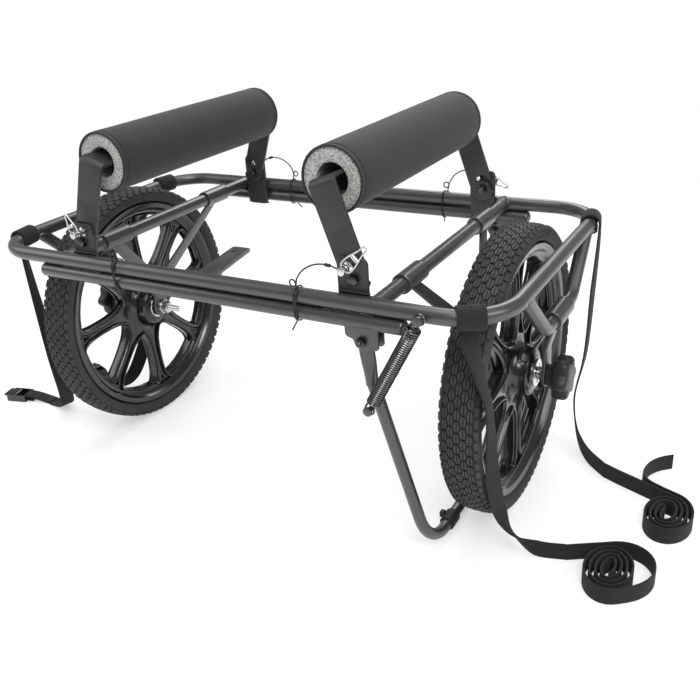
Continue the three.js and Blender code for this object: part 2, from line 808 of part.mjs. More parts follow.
// The kickstand's spring: one wire wound in curls, with a hook at each end round its stud
function kickstandSpring() {
  const top = at(spring.topX, spring.y, spring.topZ);
  const bottom = at(spring.bottomX, spring.y, spring.bottomZ);
  const axis = bottom.clone().sub(top).normalize();
  const out = at(0, 1, 0);
  const across = out.clone().cross(axis);
  const shank = spring.hook + 7;
  const wound = top.distanceTo(bottom) - 2 * shank;
  const stepsPerCurl = 8;
  const points = [...hook(top, axis, across, shank).reverse()];
  for (let i = 0; i <= spring.curls * stepsPerCurl; i++) {
    const angle = (2 * Math.PI * i) / stepsPerCurl;
    const down = shank + (wound * i) / (spring.curls * stepsPerCurl);
    const point = top.clone().addScaledVector(axis, down);
    point.addScaledVector(across, spring.radius * Math.cos(angle));
    points.push(point.addScaledVector(out, spring.radius * Math.sin(angle)));
  }
  points.push(...hook(bottom, axis.clone().negate(), across, shank));
  const least = leastGap(points, 12, 2 * spring.wire);
  console.log("spring: least gap between curls " + least.toFixed(2) + " mm");
  return swept(wireRings(points, spring.wire, 5));
}

function hook(centre, axis, across, shank) {
  const points = [centre.clone().addScaledVector(axis, shank - 3).addScaledVector(across, spring.hook)];
  for (let k = 0; k <= 8; k++) {
    const angle = (1.5 * Math.PI * k) / 8;
    const point = centre.clone().addScaledVector(across, spring.hook * Math.cos(angle));
    points.push(point.addScaledVector(axis, -spring.hook * Math.sin(angle)));
  }
  return points;
}

// A strap's loose stretch: one turn round its tube, then through its points, each with the way its width lies
function looseStrap({ centre, alongTube, fromAngle, toAngle, points }) {
  const wrapRadius = tubeRadius + strap.thickness / 2 + 2.2;
  const up = at(0, 0, 1);
  const tubeWay = at(...alongTube);
  const out = tubeWay.clone().cross(up);
  const wrapSteps = 12;
  const wrap = Array.from({ length: wrapSteps + 1 }, (_, i) => {
    const angle = radians(fromAngle + ((toAngle - fromAngle) * i) / wrapSteps);
    const point = at(...centre).addScaledVector(out, wrapRadius * Math.cos(angle));
    return point.addScaledVector(up, wrapRadius * Math.sin(angle));
  });
  const curve = new THREE.CatmullRomCurve3([wrap.at(-1), ...points.map(([x, y, z]) => at(x, y, z))]);
  const widthWays = [tubeWay, ...points.map(([, , , x, y, z]) => at(x, y, z))];
  const substeps = 3;
  const steps = substeps * points.length;
  const hang = [];
  const widths = [];
  for (let i = 1; i <= steps; i++) {
    const before = Math.min(Math.floor(i / substeps), points.length - 1);
    hang.push(curve.getPoint(i / steps));
    widths.push(widthWays[before].clone().lerp(widthWays[before + 1], i / substeps - before));
  }
  return swept(strapRings([...wrap, ...hang], [...wrap.map(() => tubeWay), ...widths]));
}

// A strap wound on its edge: an oval spiral inwards and, if it is folded double, back out to a tail
function strapCoil(name, { centre, semiAxes, firstAngle, turns, arrival, swing, swingAngle, tail }) {
  const stepsPerTurn = 20;
  const steps = turns * stepsPerTurn;
  const plies = tail.length > 0 ? 2 : 1;
  const layer = (inset) => Array.from({ length: steps + 1 }, (_, i) => {
    const turned = i / stepsPerTurn;
    const angle = radians(firstAngle) - 2 * Math.PI * turned;
    const bulge = Math.max(0, Math.cos(angle - radians(swingAngle))) ** 2;
    const outwards = (turned < 1 ? swing * bulge : 0) - coil.pitch * (plies * turned + inset);
    const x = centre[0] + (semiAxes[0] + outwards) * Math.cos(angle);
    return flat(x, centre[1] + (semiAxes[1] + outwards) * Math.sin(angle));
  });
  const inwards = layer(plies - 1);
  let line = [...arrival.map(([x, y]) => flat(x, y)), ...inwards];
  if (plies === 2) {
    const outwards = layer(0).reverse();
    const tailPoints = tail.map(([x, y]) => flat(x, y));
    const lastBend = new THREE.SplineCurve([outwards.at(-1), ...tailPoints]).getPoints(4 * tail.length);
    const fold = foldBetween(inwards.at(-1), outwards[0], inwards.at(-2));
    line = [...line, ...fold, ...outwards, ...lastBend.slice(1)];
  }
  const points = line.map((p) => at(p.x, p.y, strap.floor + strap.width / 2));
  const least = leastGap(points, 40, strap.thickness);
  console.log(name + ": least gap between turns " + least.toFixed(2) + " mm");
  return swept(strapRings(points, points.map(() => at(0, 0, 1))));
}

// The half circle by which a strap turns back from one point to the next, bulging the way it was going
function foldBetween(from, to, before) {
  const middle = from.clone().add(to).multiplyScalar(0.5);
  const spoke = from.clone().sub(middle);
  const onwards = from.clone().sub(before).setLength(spoke.length());
  return [45, 90, 135].map((degrees) => middle.clone()
    .addScaledVector(spoke, Math.cos(radians(degrees)))
    .addScaledVector(onwards, Math.sin(radians(degrees))));
}

// A cam buckle lying on the floor, its body a channel with a bar and two cheeks
function buckleBody() {
  const { halfWidth, halfLength, barX, barZ, leverX, leverZ } = buckle;
  const floor = 2;
  const cheek = 13;
  const channel = new THREE.Shape([
    flat(-halfWidth, 0),
    flat(halfWidth, 0),
    flat(halfWidth, cheek),
    flat(halfWidth - floor, cheek),
    flat(halfWidth - floor, floor),
    flat(floor - halfWidth, floor),
    flat(floor - halfWidth, cheek),
    flat(-halfWidth, cheek),
  ]);
  const body = plateAcrossX(channel, -halfLength, 2 * halfLength);
  const bar = rod(at(barX, 1 - halfWidth, barZ), at(barX, halfWidth - 1, barZ), 2.2, 8);
  const leverHole = rod(at(leverX, -20, leverZ), at(leverX, 20, leverZ), 2.3, 8);
  return cut(join(body, bar), leverHole);
}

// The end of a strap at its buckle: over the bar, round it and back below itself
function strapEndAt({ x, y, turn }) {
  const { barX, barZ } = buckle;
  const round = 3.6;
  const cos = Math.cos(radians(turn));
  const sin = Math.sin(radians(turn));
  const route = [
    [-62, 2.6],
    [-42, 8],
    [-29, barZ + 3],
    [barX, barZ + round],
    [barX + round, barZ],
    [barX, barZ - round],
    [-29, 3.6],
    [-36, 3.4],
  ];
  return route.map(([along, z]) => [x + along * cos, y + along * sin, z + strap.floor, -sin, cos, 0]);
}

// The buckle's cam lever about its own pivot
function buckleLever() {
  const outline = new THREE.Shape();
  outline.absarc(0, 0, 4, Math.PI / 2, 1.4 * Math.PI);
  outline.lineTo(5, -2.6);
  outline.lineTo(22, 1.6);
  outline.lineTo(21, 4);
  const lever = plateAcrossY(outline, -12.6, 25.2, 5);
  return join(lever, rod(at(0, -14.6, 0), at(0, 14.6, 0), 2, 8));
}

// Frame
place("upper_hoop", upperHoop(), paint);
place("front_lower_rail", lowerRail(-1), paint);
place("rear_lower_rail", lowerRail(1), paint);
place("tow_plate", towPlate(), paint);

const bracketNear = frame.halfDepth - tubeRadius - gap;
const pinPlace = lockPinPlace();
const ends = [
  { end: "front", side: -1 },
  { end: "rear", side: 1 },
];
const halves = [
  { hand: "right", sign: 1 },
  { hand: "left", sign: -1 },
];

for (const { hand, sign } of halves) {
  const half = new THREE.Group();
  half.scale.x = sign;
  cart.add(half);
  const put = (name, geometry, material, parent = half) =>
    place(name + "_" + hand, geometry, material, parent);

  put("inner_cross_tube", crossTube(), paint);
  put("inner_strut", innerStrut(), paint);
  put("drop_hoop", dropHoopTube(), paint);
  put("outer_strut", outerStrut(), paint);
  put("axle_bolt", axleBolt(), zinc);
  put("knob", knob(), plastic);

  const turning = new THREE.Group();
  turning.position.set(wheel.x, 0, wheel.axleHeight);
  half.add(turning);
  put("wheel", spokedWheel(), plastic, turning);
  put("tyre", tyre(), rubber, turning);
  put("hub_bearing", hubBearing(), zinc, turning);

  const folding = new THREE.Group();
  folding.position.set(bunk.pivotX, 0, bunk.pivotZ);
  folding.rotation.y = -radians(bunk.lean);
  half.add(folding);
  put("bunk_bar", bunkBar(), darkPaint, folding);
  for (const [name, geometry, material] of [["foam", padFoam(), foam], ["sleeve", padSleeve(), fabric]]) {
    put("bunk_" + name, geometry, material, folding).position.z = bunk.height - pad.drop;
  }

  for (const { end, side } of ends) {
    const inner = bracketNear - bracket.thickness;
    const plateY = side < 0 ? -bracketNear : inner;
    const legFace = inner - gap - bunk.thickness - gap;
    put("bunk_bracket_" + end, bunkBracket(plateY), darkPaint);
    const outerFace = side * (bracketNear + gap);
    const pivotBolt = hexBolt(bunk.pivotX, bunk.pivotZ, outerFace, side * legFace, 7, 4);
    put("bunk_pivot_bolt_" + end, pivotBolt, blackSteel);
    const lockPinMesh = put("lock_pin_" + end, lockPin(side < 0 ? -0.7 : 0.9), zinc);
    lockPinMesh.position.set(pinPlace.x, side * bracketNear, pinPlace.z);
    lockPinMesh.rotation.z = side < 0 ? Math.PI : 0;
    put("lanyard_" + end, lanyard(pinPlace.x, 150, side), blackSteel);
  }
}

// Kickstand and its spring
place("kickstand", kickstand(), paint);
for (const { end, side } of ends) {
  place("kickstand_foot_" + end, standFoot(side), rubber);
  const far = side * (frame.halfDepth + 5.4 + 3.2 + gap);
  const near = side * (frame.halfDepth - 5.4 - 3.2 - gap);
  place("kickstand_bolt_" + end, hexBolt(stand.pivotX, stand.pivotZ, near, far, 6.5, 4), blackSteel);
}
place("kickstand_spring", kickstandSpring(), blackSteel);

// Tie-down straps: the two on the right end in coils, the two on the left end in cam buckles on the floor
const buckles = [
  { name: "left_front", x: -612, y: -96, turn: 194 },
  { name: "left_rear", x: -545, y: 38, turn: 160 },
];
for (const { name, x, y, turn } of buckles) {
  const lying = new THREE.Group();
  lying.position.set(x, y, strap.floor);
  lying.rotation.z = radians(turn);
  cart.add(lying);
  place("buckle_" + name, buckleBody(), blackSteel, lying);
  place("buckle_lever_" + name, buckleLever(), zinc, lying).position.set(buckle.leverX, 0, buckle.leverZ);
}
place("strap_left_front", looseStrap({
  centre: [-396.8, -166, frame.height],
  alongTube: [-0.186, 0.983, 0],
  fromAngle: -135,
  toAngle: 180,
  points: [
    [-411, -166, 345, -0.6, 0.8, 0],
    [-412, -161, 250, -0.35, 0.93, 0],
    [-425, -146, 150, -0.1, 1, 0],
    [-452, -118, 60, 0.2, 1, 0],
    [-486, -94, 14, 0.3, 1, 0],
    [-520, -84, 3, 0.25, 1, 0],
    ...strapEndAt(buckles[0]),
  ],
}), webbing);
place("strap_left_rear", looseStrap({
  centre: [-396.8, 166, frame.height],
  alongTube: [0.186, 0.983, 0],
  fromAngle: -135,
  toAngle: 180,
  points: [
    [-411, 166, 345, 0, 1, 0],
    [-413, 157, 250, 0, 1, 0],
    [-416, 125, 165, 0, 1, 0.3],
    [-420, 72, 92, 0.3, 1, 0.6],
    [-430, 30, 30, 0.7, 1, 0.5],
    [-452, 12, 5, 0.6, 1, 0.1],
    [-480, 14, 1.6, 0.35, 1, 0],
    ...strapEndAt(buckles[1]),
  ],
}), webbing);
place("strap_right_front", looseStrap({
  centre: [363, -213.6, frame.height],
  alongTube: [0.866, 0.5, 0],
  fromAngle: -135,
  toAngle: 180,
  points: [
    [357.5, -203.8, 345, 0.866, 0.5, 0],
    [365.5, -198.5, 300, 0.8, 0.6, 0],
    [375.5, -189, 252, 0.55, 0.83, 0],
    [376, -180, 205, 0.5, 0.866, 0],
    [376, -169, 131, 0.6, 0.8, 0.1],
    [379, -140, 58, 0.2, 0.85, -0.2],
    [396, -133, 25, -0.24, 0.75, -0.62],
    [424, -132, 14.2, 0, 0, -1],
    [462, -122.5, 12.9, 0, 0, -1],
  ],
}), webbing);
place("strap_right_rear", looseStrap({
  centre: [396.5, 167.6, frame.height],
  alongTube: [-0.208, 0.978, 0],
  fromAngle: 315,
  toAngle: 0,
  points: [
    [409, 171, 345, -0.208, 0.978, 0],
    [404, 178, 264, -0.22, 0.975, 0],
    [398, 183, 152, -0.21, 0.97, -0.1],
    [386, 181, 70, -0.2, 0.93, -0.3],
    [398, 160, 26, -0.15, 0.95, 0.1],
    [411, 139, 16, -0.1, 0.6, 0.75],
    [430, 113, 13.2, 0, 0, 1],
    [460, 85, 12.9, 0, 0, 1],
  ],
}), webbing);
place("strap_coil_right_front", strapCoil("strap_coil_right_front", {
  centre: [521, -140],
  semiAxes: [37, 47],
  firstAngle: 115,
  turns: 3,
  arrival: [[462.6, -122.2], [487, -107.7]],
  swing: 20,
  swingAngle: 30,
  tail: [],
}), webbing);
place("strap_coil_right_rear", strapCoil("strap_coil_right_rear", {
  centre: [563, 3],
  semiAxes: [37, 47],
  firstAngle: 73,
  turns: 1.5,
  arrival: [[460.5, 84.6], [484, 74.5], [512, 64]],
  swing: 0,
  swingAngle: 0,
  tail: [[545, 59], [529, 67], [519, 78], [517, 96], [522, 118], [534, 136], [548, 148]],
}), webbing);

export default cart;
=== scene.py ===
import math
import random

import bmesh
import bpy
import numpy as np
from mathutils import Matrix, Vector


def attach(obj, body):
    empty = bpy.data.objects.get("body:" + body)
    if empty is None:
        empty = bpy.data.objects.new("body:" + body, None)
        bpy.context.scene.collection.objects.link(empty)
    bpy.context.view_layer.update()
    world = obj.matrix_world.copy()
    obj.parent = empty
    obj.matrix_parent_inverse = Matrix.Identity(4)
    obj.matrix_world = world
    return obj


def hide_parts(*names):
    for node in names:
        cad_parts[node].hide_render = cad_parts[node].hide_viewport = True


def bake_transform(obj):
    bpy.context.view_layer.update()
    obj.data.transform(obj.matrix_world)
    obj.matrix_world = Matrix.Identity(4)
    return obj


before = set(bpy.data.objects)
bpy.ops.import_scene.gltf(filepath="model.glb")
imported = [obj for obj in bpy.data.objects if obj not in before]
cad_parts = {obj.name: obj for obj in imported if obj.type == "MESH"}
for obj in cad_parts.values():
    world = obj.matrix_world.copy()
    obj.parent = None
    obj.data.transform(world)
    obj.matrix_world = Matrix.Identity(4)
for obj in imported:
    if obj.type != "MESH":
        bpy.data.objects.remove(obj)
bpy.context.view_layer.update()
mm = 0.001  # forms are in millimetres, the scene is in metres


def report(stage):
    print("stage:", stage)


def addObject(name, data):
    made = bpy.data.objects.new(name, data)
    bpy.context.scene.collection.objects.link(made)
    return made


for startingObject in ("Cube", "Light", "Camera"):
    if startingObject in bpy.data.objects:
        bpy.data.objects.remove(bpy.data.objects[startingObject])


# Camera: fitted to the photograph, which is square
cameraPlan = {
    "place": (0.66829, -0.99062, 0.73743),
    "azimuth": 30.70,
    "elevation": 25.64,
    "roll": -3.94,
    "focalPixels": 822.88,
    "imagePixels": 700,
    "sensor": 36,
    "nearest": 0.05,
}


def addCamera():
    data = bpy.data.cameras.new("camera")
    data.sensor_width = cameraPlan["sensor"]
    data.lens = cameraPlan["focalPixels"] / cameraPlan["imagePixels"] * cameraPlan["sensor"]
    data.clip_start = cameraPlan["nearest"]
    camera = addObject("camera", data)
    matrix = Matrix.Translation(cameraPlan["place"])
    tilt = 90 - cameraPlan["elevation"]  # from straight down
    for axis, degrees in (("Z", cameraPlan["azimuth"]), ("X", tilt), ("Z", cameraPlan["roll"])):
        matrix = matrix @ Matrix.Rotation(math.radians(degrees), 4, axis)
    camera.matrix_world = matrix
    bpy.context.scene.camera = camera


addCamera()
report("camera")


# Shader graphs: a wire is a socket that adds, subtracts and multiplies like a number or a vector
class Wire:
    def __init__(self, graph, socket, isVector=False):
        self.graph = graph
        self.socket = socket
        self.isVector = isVector

    def combine(self, operation, first, second):
        isVector = any(isinstance(side, Wire) and side.isVector for side in (first, second))
        kind = "ShaderNodeVectorMath" if isVector else "ShaderNodeMath"
        return self.graph.node(kind, {"operation": operation}, {0: first, 1: second}, isVector=isVector)

    def __add__(self, other):
        return self.combine("ADD", self, other)

    def __radd__(self, other):
        return self.combine("ADD", other, self)

    def __sub__(self, other):
        return self.combine("SUBTRACT", self, other)

    def __rsub__(self, other):
        return self.combine("SUBTRACT", other, self)

    def __mul__(self, other):
        return self.combine("MULTIPLY", self, other)

    def __rmul__(self, other):
        return self.combine("MULTIPLY", other, self)


class Graph:
    def __init__(self, tree):
        self.tree = tree

    def feed(self, target, value):
        if isinstance(value, Wire):
            self.tree.links.new(value.socket, target)
        elif target.type == "VECTOR" and isinstance(value, (int, float)):
            target.default_value = (value, value, value)
        else:
            target.default_value = value

    def node(self, kind, settings=None, values=None, output=0, isVector=False):
        made = self.tree.nodes.new(kind)
        for key, value in (settings or {}).items():
            setattr(made, key, value)
        for key, value in (values or {}).items():
            self.feed(made.inputs[key], value)
        return Wire(self, made.outputs[output], isVector)


class Shader(Graph):
    def __init__(self, name, colour, roughness, metallic=0.0, **fixed):
        self.material = bpy.data.materials.new(name)
        self.material.use_nodes = True
        super().__init__(self.material.node_tree)
        self.surface = self.tree.nodes["Principled BSDF"]
        fixed.update({"Base Color": (*colour, 1), "Roughness": roughness, "Metallic": metallic})
        for key, value in fixed.items():
            self.set(key, value)

    def set(self, name, value):
        self.feed(self.surface.inputs[name], value)

    def place(self, stretch=(1, 1, 1)):
        point = self.node("ShaderNodeTexCoord", output="Object", isVector=True)
        return self.node("ShaderNodeMapping", {}, {"Vector": point, "Scale": stretch}, isVector=True)

    def noise(self, scale, detail=2.0):
        values = {"Vector": self.place(), "Scale": scale, "Detail": detail}
        return self.node("ShaderNodeTexNoise", {}, values, output="Fac")

    def cells(self, scale, stretch=(1, 1, 1)):
        values = {"Vector": self.place(stretch), "Scale": scale}
        return self.node("ShaderNodeTexVoronoi", {}, values, output="Distance")

    def range(self, value, low, high, toLow=0.0, toHigh=1.0):
        values = {"Value": value, "From Min": low, "From Max": high, "To Min": toLow, "To Max": toHigh}
        return self.node("ShaderNodeMapRange", {}, values)

    def mix(self, factor, first, second):
        colours = {6: (*first, 1), 7: (*second, 1), 0: factor}
        return self.node("ShaderNodeMix", {"data_type": "RGBA"}, colours, output=2)

    def bump(self, height, depth, strength):
        values = {"Height": height, "Distance": depth, "Strength": strength}
        self.set("Normal", self.node("ShaderNodeBump", {}, values, isVector=True))


# Materials: colours are linear
def powderCoat(name, tone, roughness, specular, uneven=0.045):
    shader = Shader(name, (tone, tone, tone * 1.06), roughness, **{"Specular IOR Level": specular})
    worn = shader.noise(14, 3)
    shader.set("Roughness", shader.range(worn, 0.3, 0.7, roughness - uneven, roughness + uneven))
    shader.bump(shader.noise(900), 0.00018, 0.35)
    return shader.material


def rubber(name, tone, roughness, dusty=1.35):
    shader = Shader(name, (tone, tone, tone), roughness, **{"Specular IOR Level": 0.4})
    dust = shader.range(shader.noise(30, 4), 0.35, 0.75)
    shader.set("Base Color", shader.mix(dust, (tone,) * 3, (tone * dusty,) * 3))
    shader.bump(shader.noise(700, 3), 0.0002, 0.4)
    return shader.material


def glossPlastic(name, tone, smoothest, roughest):
    fixed = {"Coat Weight": 0.2, "Coat Roughness": 0.1}
    shader = Shader(name, tone, smoothest, **fixed)
    shader.set("Roughness", shader.range(shader.noise(25, 3), 0.3, 0.7, smoothest, roughest))
    shader.bump(shader.noise(420), 0.00008, 0.1)
    return shader.material


def metal(name, tone, roughness):
    shader = Shader(name, tone, roughness, 1.0)
    drawn = shader.noise(120, 3)
    shader.set("Roughness", shader.range(drawn, 0.3, 0.7, roughness * 0.8, roughness * 1.25))
    shader.bump(drawn, 0.0001, 0.15)
    return shader.material


def speckledFoam(name, dark, light, roughness):
    shader = Shader(name, light, roughness, **{"Specular IOR Level": 0.25})
    cells = shader.cells(420)
    pale = shader.range(cells + shader.noise(520) * 0.8, 0.35, 1.0)
    shader.set("Base Color", shader.mix(pale, dark, light))
    shader.bump(cells, 0.0009, 0.8)
    return shader.material


def sleeveCloth(name, tone, roughness, sheen):
    shader = Shader(name, tone, roughness, **{"Sheen Weight": sheen, "Sheen Roughness": 0.5})
    shader.bump(shader.cells(1300, (1, 0.6, 1)), 0.0002, 0.4)
    return shader.material


def strapWebbing(name, valleyShade, crestLight, roughness):
    fixed = {"Sheen Weight": 0.04, "Specular IOR Level": 0.25}
    shader = Shader(name, (crestLight,) * 3, roughness, **fixed)
    spot = shader.node("ShaderNodeUVMap", {"uv_map": "strip"}, isVector=True)

    def threads(direction, spacing):
        place = shader.node("ShaderNodeSeparateXYZ", {}, {0: spot}, output=direction)
        return shader.node("ShaderNodeMath", {"operation": "SINE"}, {0: place * (2 * math.pi / spacing)})

    ribs, weave = threads("Y", 0.0019), threads("X", 0.0034)
    shader.bump(ribs * 0.7 + weave * ribs * 0.4, 0.00035, 0.9)
    # Painted shade in the rib valleys and painted light on the rib crests: the colour follows the same ribs
    # as the bump
    shader.set("Base Color", shader.mix(shader.range(ribs, -1, 1), (valleyShade,) * 3, (crestLight,) * 3))
    return shader.material


looks = {
    "frame_paint": powderCoat("frame_coat", tone=0.024, roughness=0.335, specular=0.85),
    "bracket_paint": powderCoat("bracket_coat", tone=0.016, roughness=0.45, specular=0.55),
    "zinc_steel": metal("bright_zinc", tone=(0.56, 0.57, 0.58), roughness=0.24),
    "black_steel": metal("black_oxide", tone=(0.075, 0.075, 0.078), roughness=0.27),
    "black_plastic": glossPlastic("gloss_plastic", (0.0065, 0.0065, 0.0075), smoothest=0.17, roughest=0.24),
    "spring_wire": metal("spring_wire", tone=(0.12, 0.12, 0.124), roughness=0.21),
    "wire_coat": rubber("wire_coat", tone=0.009, roughness=0.45),
    "knob_plastic": rubber("knob_moulding", tone=0.0085, roughness=0.46),
    "tyre_rubber": rubber("tyre_tread", tone=0.022, roughness=0.66),
    "foot_rubber": rubber("clip_rubber", tone=0.014, roughness=0.6),
    "pad_foam": speckledFoam("speckled_foam", (0.035, 0.035, 0.034), (0.4, 0.4, 0.39), roughness=0.95),
    "sleeve_fabric": sleeveCloth("sleeve_cloth", (0.0095, 0.0095, 0.0105), roughness=0.84, sheen=0.09),
    # webbing colours: painted shade for the rib valleys, painted light for the rib crests
    "webbing": strapWebbing("strap_webbing", valleyShade=0.0075, crestLight=0.0165, roughness=0.82),
}
report("materials")


# Forms: points in millimetres and faces, grown by sweeping, turning and cutting out plates
class Form:
    def __init__(self, points=(), faces=(), strip=()):
        self.points = []
        self.faces = []
        self.strip = []
        self.add(points, faces, strip)

    def add(self, points, faces, strip=()):
        start = len(self.points)
        self.points += [tuple(p) for p in points]
        self.strip += strip or [(0.0, 0.0)] * len(points)
        self.faces += [[start + k for k in face] for face in faces]

    def join(self, *others):
        for other in others:
            self.add(other.points, other.faces, other.strip)
        return self

    def moved(self, matrix):
        return Form([matrix @ Vector(p) for p in self.points], self.faces, self.strip)

    def mirrored(self):
        return Form([(-x, y, z) for x, y, z in self.points], [face[::-1] for face in self.faces], self.strip)

    def mesh(self, name):
        mesh = bpy.data.meshes.new(name)
        mesh.from_pydata([(x * mm, y * mm, z * mm) for x, y, z in self.points], [], self.faces)
        layer = mesh.uv_layers.new(name="strip")
        corners = np.zeros(len(mesh.loops), dtype=np.int32)
        mesh.loops.foreach_get("vertex_index", corners)
        layer.data.foreach_set("uv", np.array(self.strip, dtype=np.float32)[corners].ravel())
        return mesh


def around(count):
    return [2 * math.pi * k / count for k in range(count)]


def ringOf(radius, sides):
    return [(radius * math.cos(t), radius * math.sin(t)) for t in around(sides)]


def circle(x, y, radius, count=28):
    return [(x + a, y + b) for a, b in ringOf(radius, count)]


def arc(x, y, radius, start, end, count):
    turns = [math.radians(start + (end - start) * k / count) for k in range(count + 1)]
    return [(x + radius * math.cos(t), y + radius * math.sin(t)) for t in turns]


def bothSides(profile):
    return profile + [(r, -d) for r, d in profile[::-1]]


def skin(rings, closed=False, capped=True):
    sides = len(rings[0])
    count = len(rings)
    faces = []
    for i in range(count if closed else count - 1):
        near, far = i * sides, (i + 1) % count * sides
        for k in range(sides):
            onward = (k + 1) % sides
            faces.append([near + k, near + onward, far + onward, far + k])
    if capped and not closed:
        faces.append(list(range(sides))[::-1])
        faces.append([(count - 1) * sides + k for k in range(sides)])
    return [p for ring in rings for p in ring], faces


def tangents(points, closed):
    if closed:
        way = np.roll(points, -1, 0) - np.roll(points, 1, 0)
    else:
        way = np.gradient(points, axis=0)
    return way / np.linalg.norm(way, axis=1)[:, None]


# The section follows the points. Its first direction is carried along, unless each point has one of its own
def sweep(points, section, across=(0.31, 0.17, 0.93), closed=False, sizes=None):
    points = np.array(points, dtype=float)
    across = np.array(across, dtype=float)
    steered = across.ndim == 2
    side = across
    rings, strip = [], []
    along = 0.0
    for i, (point, way) in enumerate(zip(points, tangents(points, closed))):
        if steered:
            side = across[i]
        side = side - way * side.dot(way)
        side /= np.linalg.norm(side)
        face = np.cross(way, side)
        if i:
            along += np.linalg.norm(point - points[i - 1])
        size = 1.0 if sizes is None else sizes[i]
        rings.append([point + size * (a * side + b * face) for a, b in section])
        strip += [(a * mm, along * mm) for a, b in section]
    return Form(*skin(rings, closed), strip)


def roundedSection(halfWidth, halfHeight, corner, steps=3):
    made = []
    for index, (sx, sy) in enumerate(((1, 1), (-1, 1), (-1, -1), (1, -1))):
        for k in range(steps + 1):
            turn = math.radians(90 * (index + k / steps))
            x = sx * (halfWidth - corner) + corner * math.cos(turn)
            made.append((x, sy * (halfHeight - corner) + corner * math.sin(turn)))
    return made


def bent(corners, radius, steps, closed=False):
    corners = [Vector(c) for c in corners]
    count = len(corners)
    made = [] if closed else [corners[0]]
    for i in range(count) if closed else range(1, count - 1):
        before, corner, after = corners[i - 1], corners[i], corners[(i + 1) % count]
        into = (corner - before).normalized()
        out = (after - corner).normalized()
        turn = into.angle(out)
        axis = into.cross(out).normalized()
        start = corner - into * radius * math.tan(turn / 2)
        centre = start + axis.cross(into) * radius
        for k in range(steps + 1):
            made.append(centre + Matrix.Rotation(turn * k / steps, 3, axis) @ (start - centre))
    if not closed:
        made.append(corners[-1])
    return made


# A profile holds pairs of a radius and a place along the axis
turnedPoints = {
    "x": lambda r, d, c, s: (d, r * c, r * s),
    "y": lambda r, d, c, s: (r * s, d, r * c),
    "z": lambda r, d, c, s: (r * c, r * s, d),
}


def turned(profile, axis, segments, centre=(0, 0, 0), closed=False):
    spots = profile + [profile[0]] if closed else profile
    count = len(spots)
    points, faces = [], []
    for i, turn in enumerate(around(segments)):
        c, s = math.cos(turn), math.sin(turn)
        points += [np.array(turnedPoints[axis](r, d, c, s)) + centre for r, d in spots]
        near, far = i * count, (i + 1) % segments * count
        faces += [[near + k, far + k, far + k + 1, near + k + 1] for k in range(count - 1)]
    return Form(points, faces)


# A short tube, whose edge is cut back by two lengths: towards the axis and along it
def collar(bore, radius, low, high, edge, axis="x", segments=32, centre=(0, 0, 0)):
    inner, chamfer = radius - edge[0], edge[1]
    profile = [
        (bore, low), (inner, low), (radius, low + chamfer),
        (radius, high - chamfer), (inner, high), (bore, high),
    ]
    return turned(profile, axis, segments, centre, True)


def rod(start, end, radius, sides=20, bevel=0.6):
    start, end = Vector(start), Vector(end)
    length = (end - start).length
    profile = [
        (0, 0), (radius - bevel, 0), (radius, bevel),
        (radius, length - bevel), (radius - bevel, length), (0, length),
    ]
    turn = Vector((0, 0, 1)).rotation_difference(end - start).to_matrix().to_4x4()
    return turned(profile, "z", sides).moved(Matrix.Translation(start) @ turn)


def weldLine(x, y, z, half, radius=1.6):
    return rod((x - half, y, z), (x + half, y, z), radius, 8, 0.4)


def box(lowest, highest, bevel=0.8):
    low, high = Vector(lowest), Vector(highest)
    size = high - low
    middle = (low + high) / 2
    rings = []
    for z, shrink in ((low.z, -bevel), (low.z + bevel, 0), (high.z - bevel, 0), (high.z, -bevel)):
        inset = roundedSection(size.x / 2 + shrink, size.y / 2 + shrink, max(bevel + shrink, 0.05), 2)
        rings.append([(middle.x + a, middle.y + b, z) for a, b in inset])
    return Form(*skin(rings))


# A flat plate across the axis given, from its outline and its holes
def plate(outlines, thickness, bevel, axis, low):
    data = bpy.data.curves.new("plate", "CURVE")
    data.dimensions = "2D"
    data.fill_mode = "BOTH"
    data.extrude = (thickness / 2 - bevel) * mm
    data.bevel_depth = bevel * mm
    data.offset = -bevel * mm
    data.bevel_resolution = 2
    for outline in outlines:
        spline = data.splines.new("POLY")
        spline.points.add(len(outline) - 1)
        for spot, (x, y) in zip(spline.points, outline):
            spot.co = (x * mm, y * mm, 0, 1)
        spline.use_cyclic_u = True
    holder = addObject("plate", data)
    bpy.context.view_layer.update()
    mesh = bpy.data.meshes.new_from_object(holder.evaluated_get(bpy.context.evaluated_depsgraph_get()))
    middle = low + thickness / 2
    places = {
        "x": lambda p: (middle + p.z, p.x, p.y),
        "y": lambda p: (p.x, middle - p.z, p.y),
        "z": lambda p: (p.x, p.y, middle + p.z),
    }
    form = Form([places[axis](v.co / mm) for v in mesh.vertices], [list(p.vertices) for p in mesh.polygons])
    bpy.data.objects.remove(holder)
    bpy.data.curves.remove(data)
    bpy.data.meshes.remove(mesh)
    return form


# Each piece stands for the node that it is named after, and for those under also
def show(node, form, body, material, look=None, also=(), sharp=35):
    mesh = form.mesh(node + "_look")
    tool = bmesh.new()
    tool.from_mesh(mesh)
    bmesh.ops.remove_doubles(tool, verts=tool.verts, dist=2e-6)
    bmesh.ops.recalc_face_normals(tool, faces=tool.faces)
    tool.to_mesh(mesh)
    tool.free()
    mesh.polygons.foreach_set("use_smooth", [True] * len(mesh.polygons))
    mesh.set_sharp_from_angle(angle=math.radians(sharp))
    piece = addObject(node + "_look", mesh)
    mesh.materials.append(looks[look or material])
    if isinstance(body, str):
        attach(piece, body)
    else:
        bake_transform(piece)
    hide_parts(node, *also)
    return piece


def onBothHands(node, form, body, material, look=None):
    for hand, side in (("right", form), ("left", form.mirrored())):
        show(node + "_" + hand, side, body if body == "frame" else body + "_" + hand, material, look)


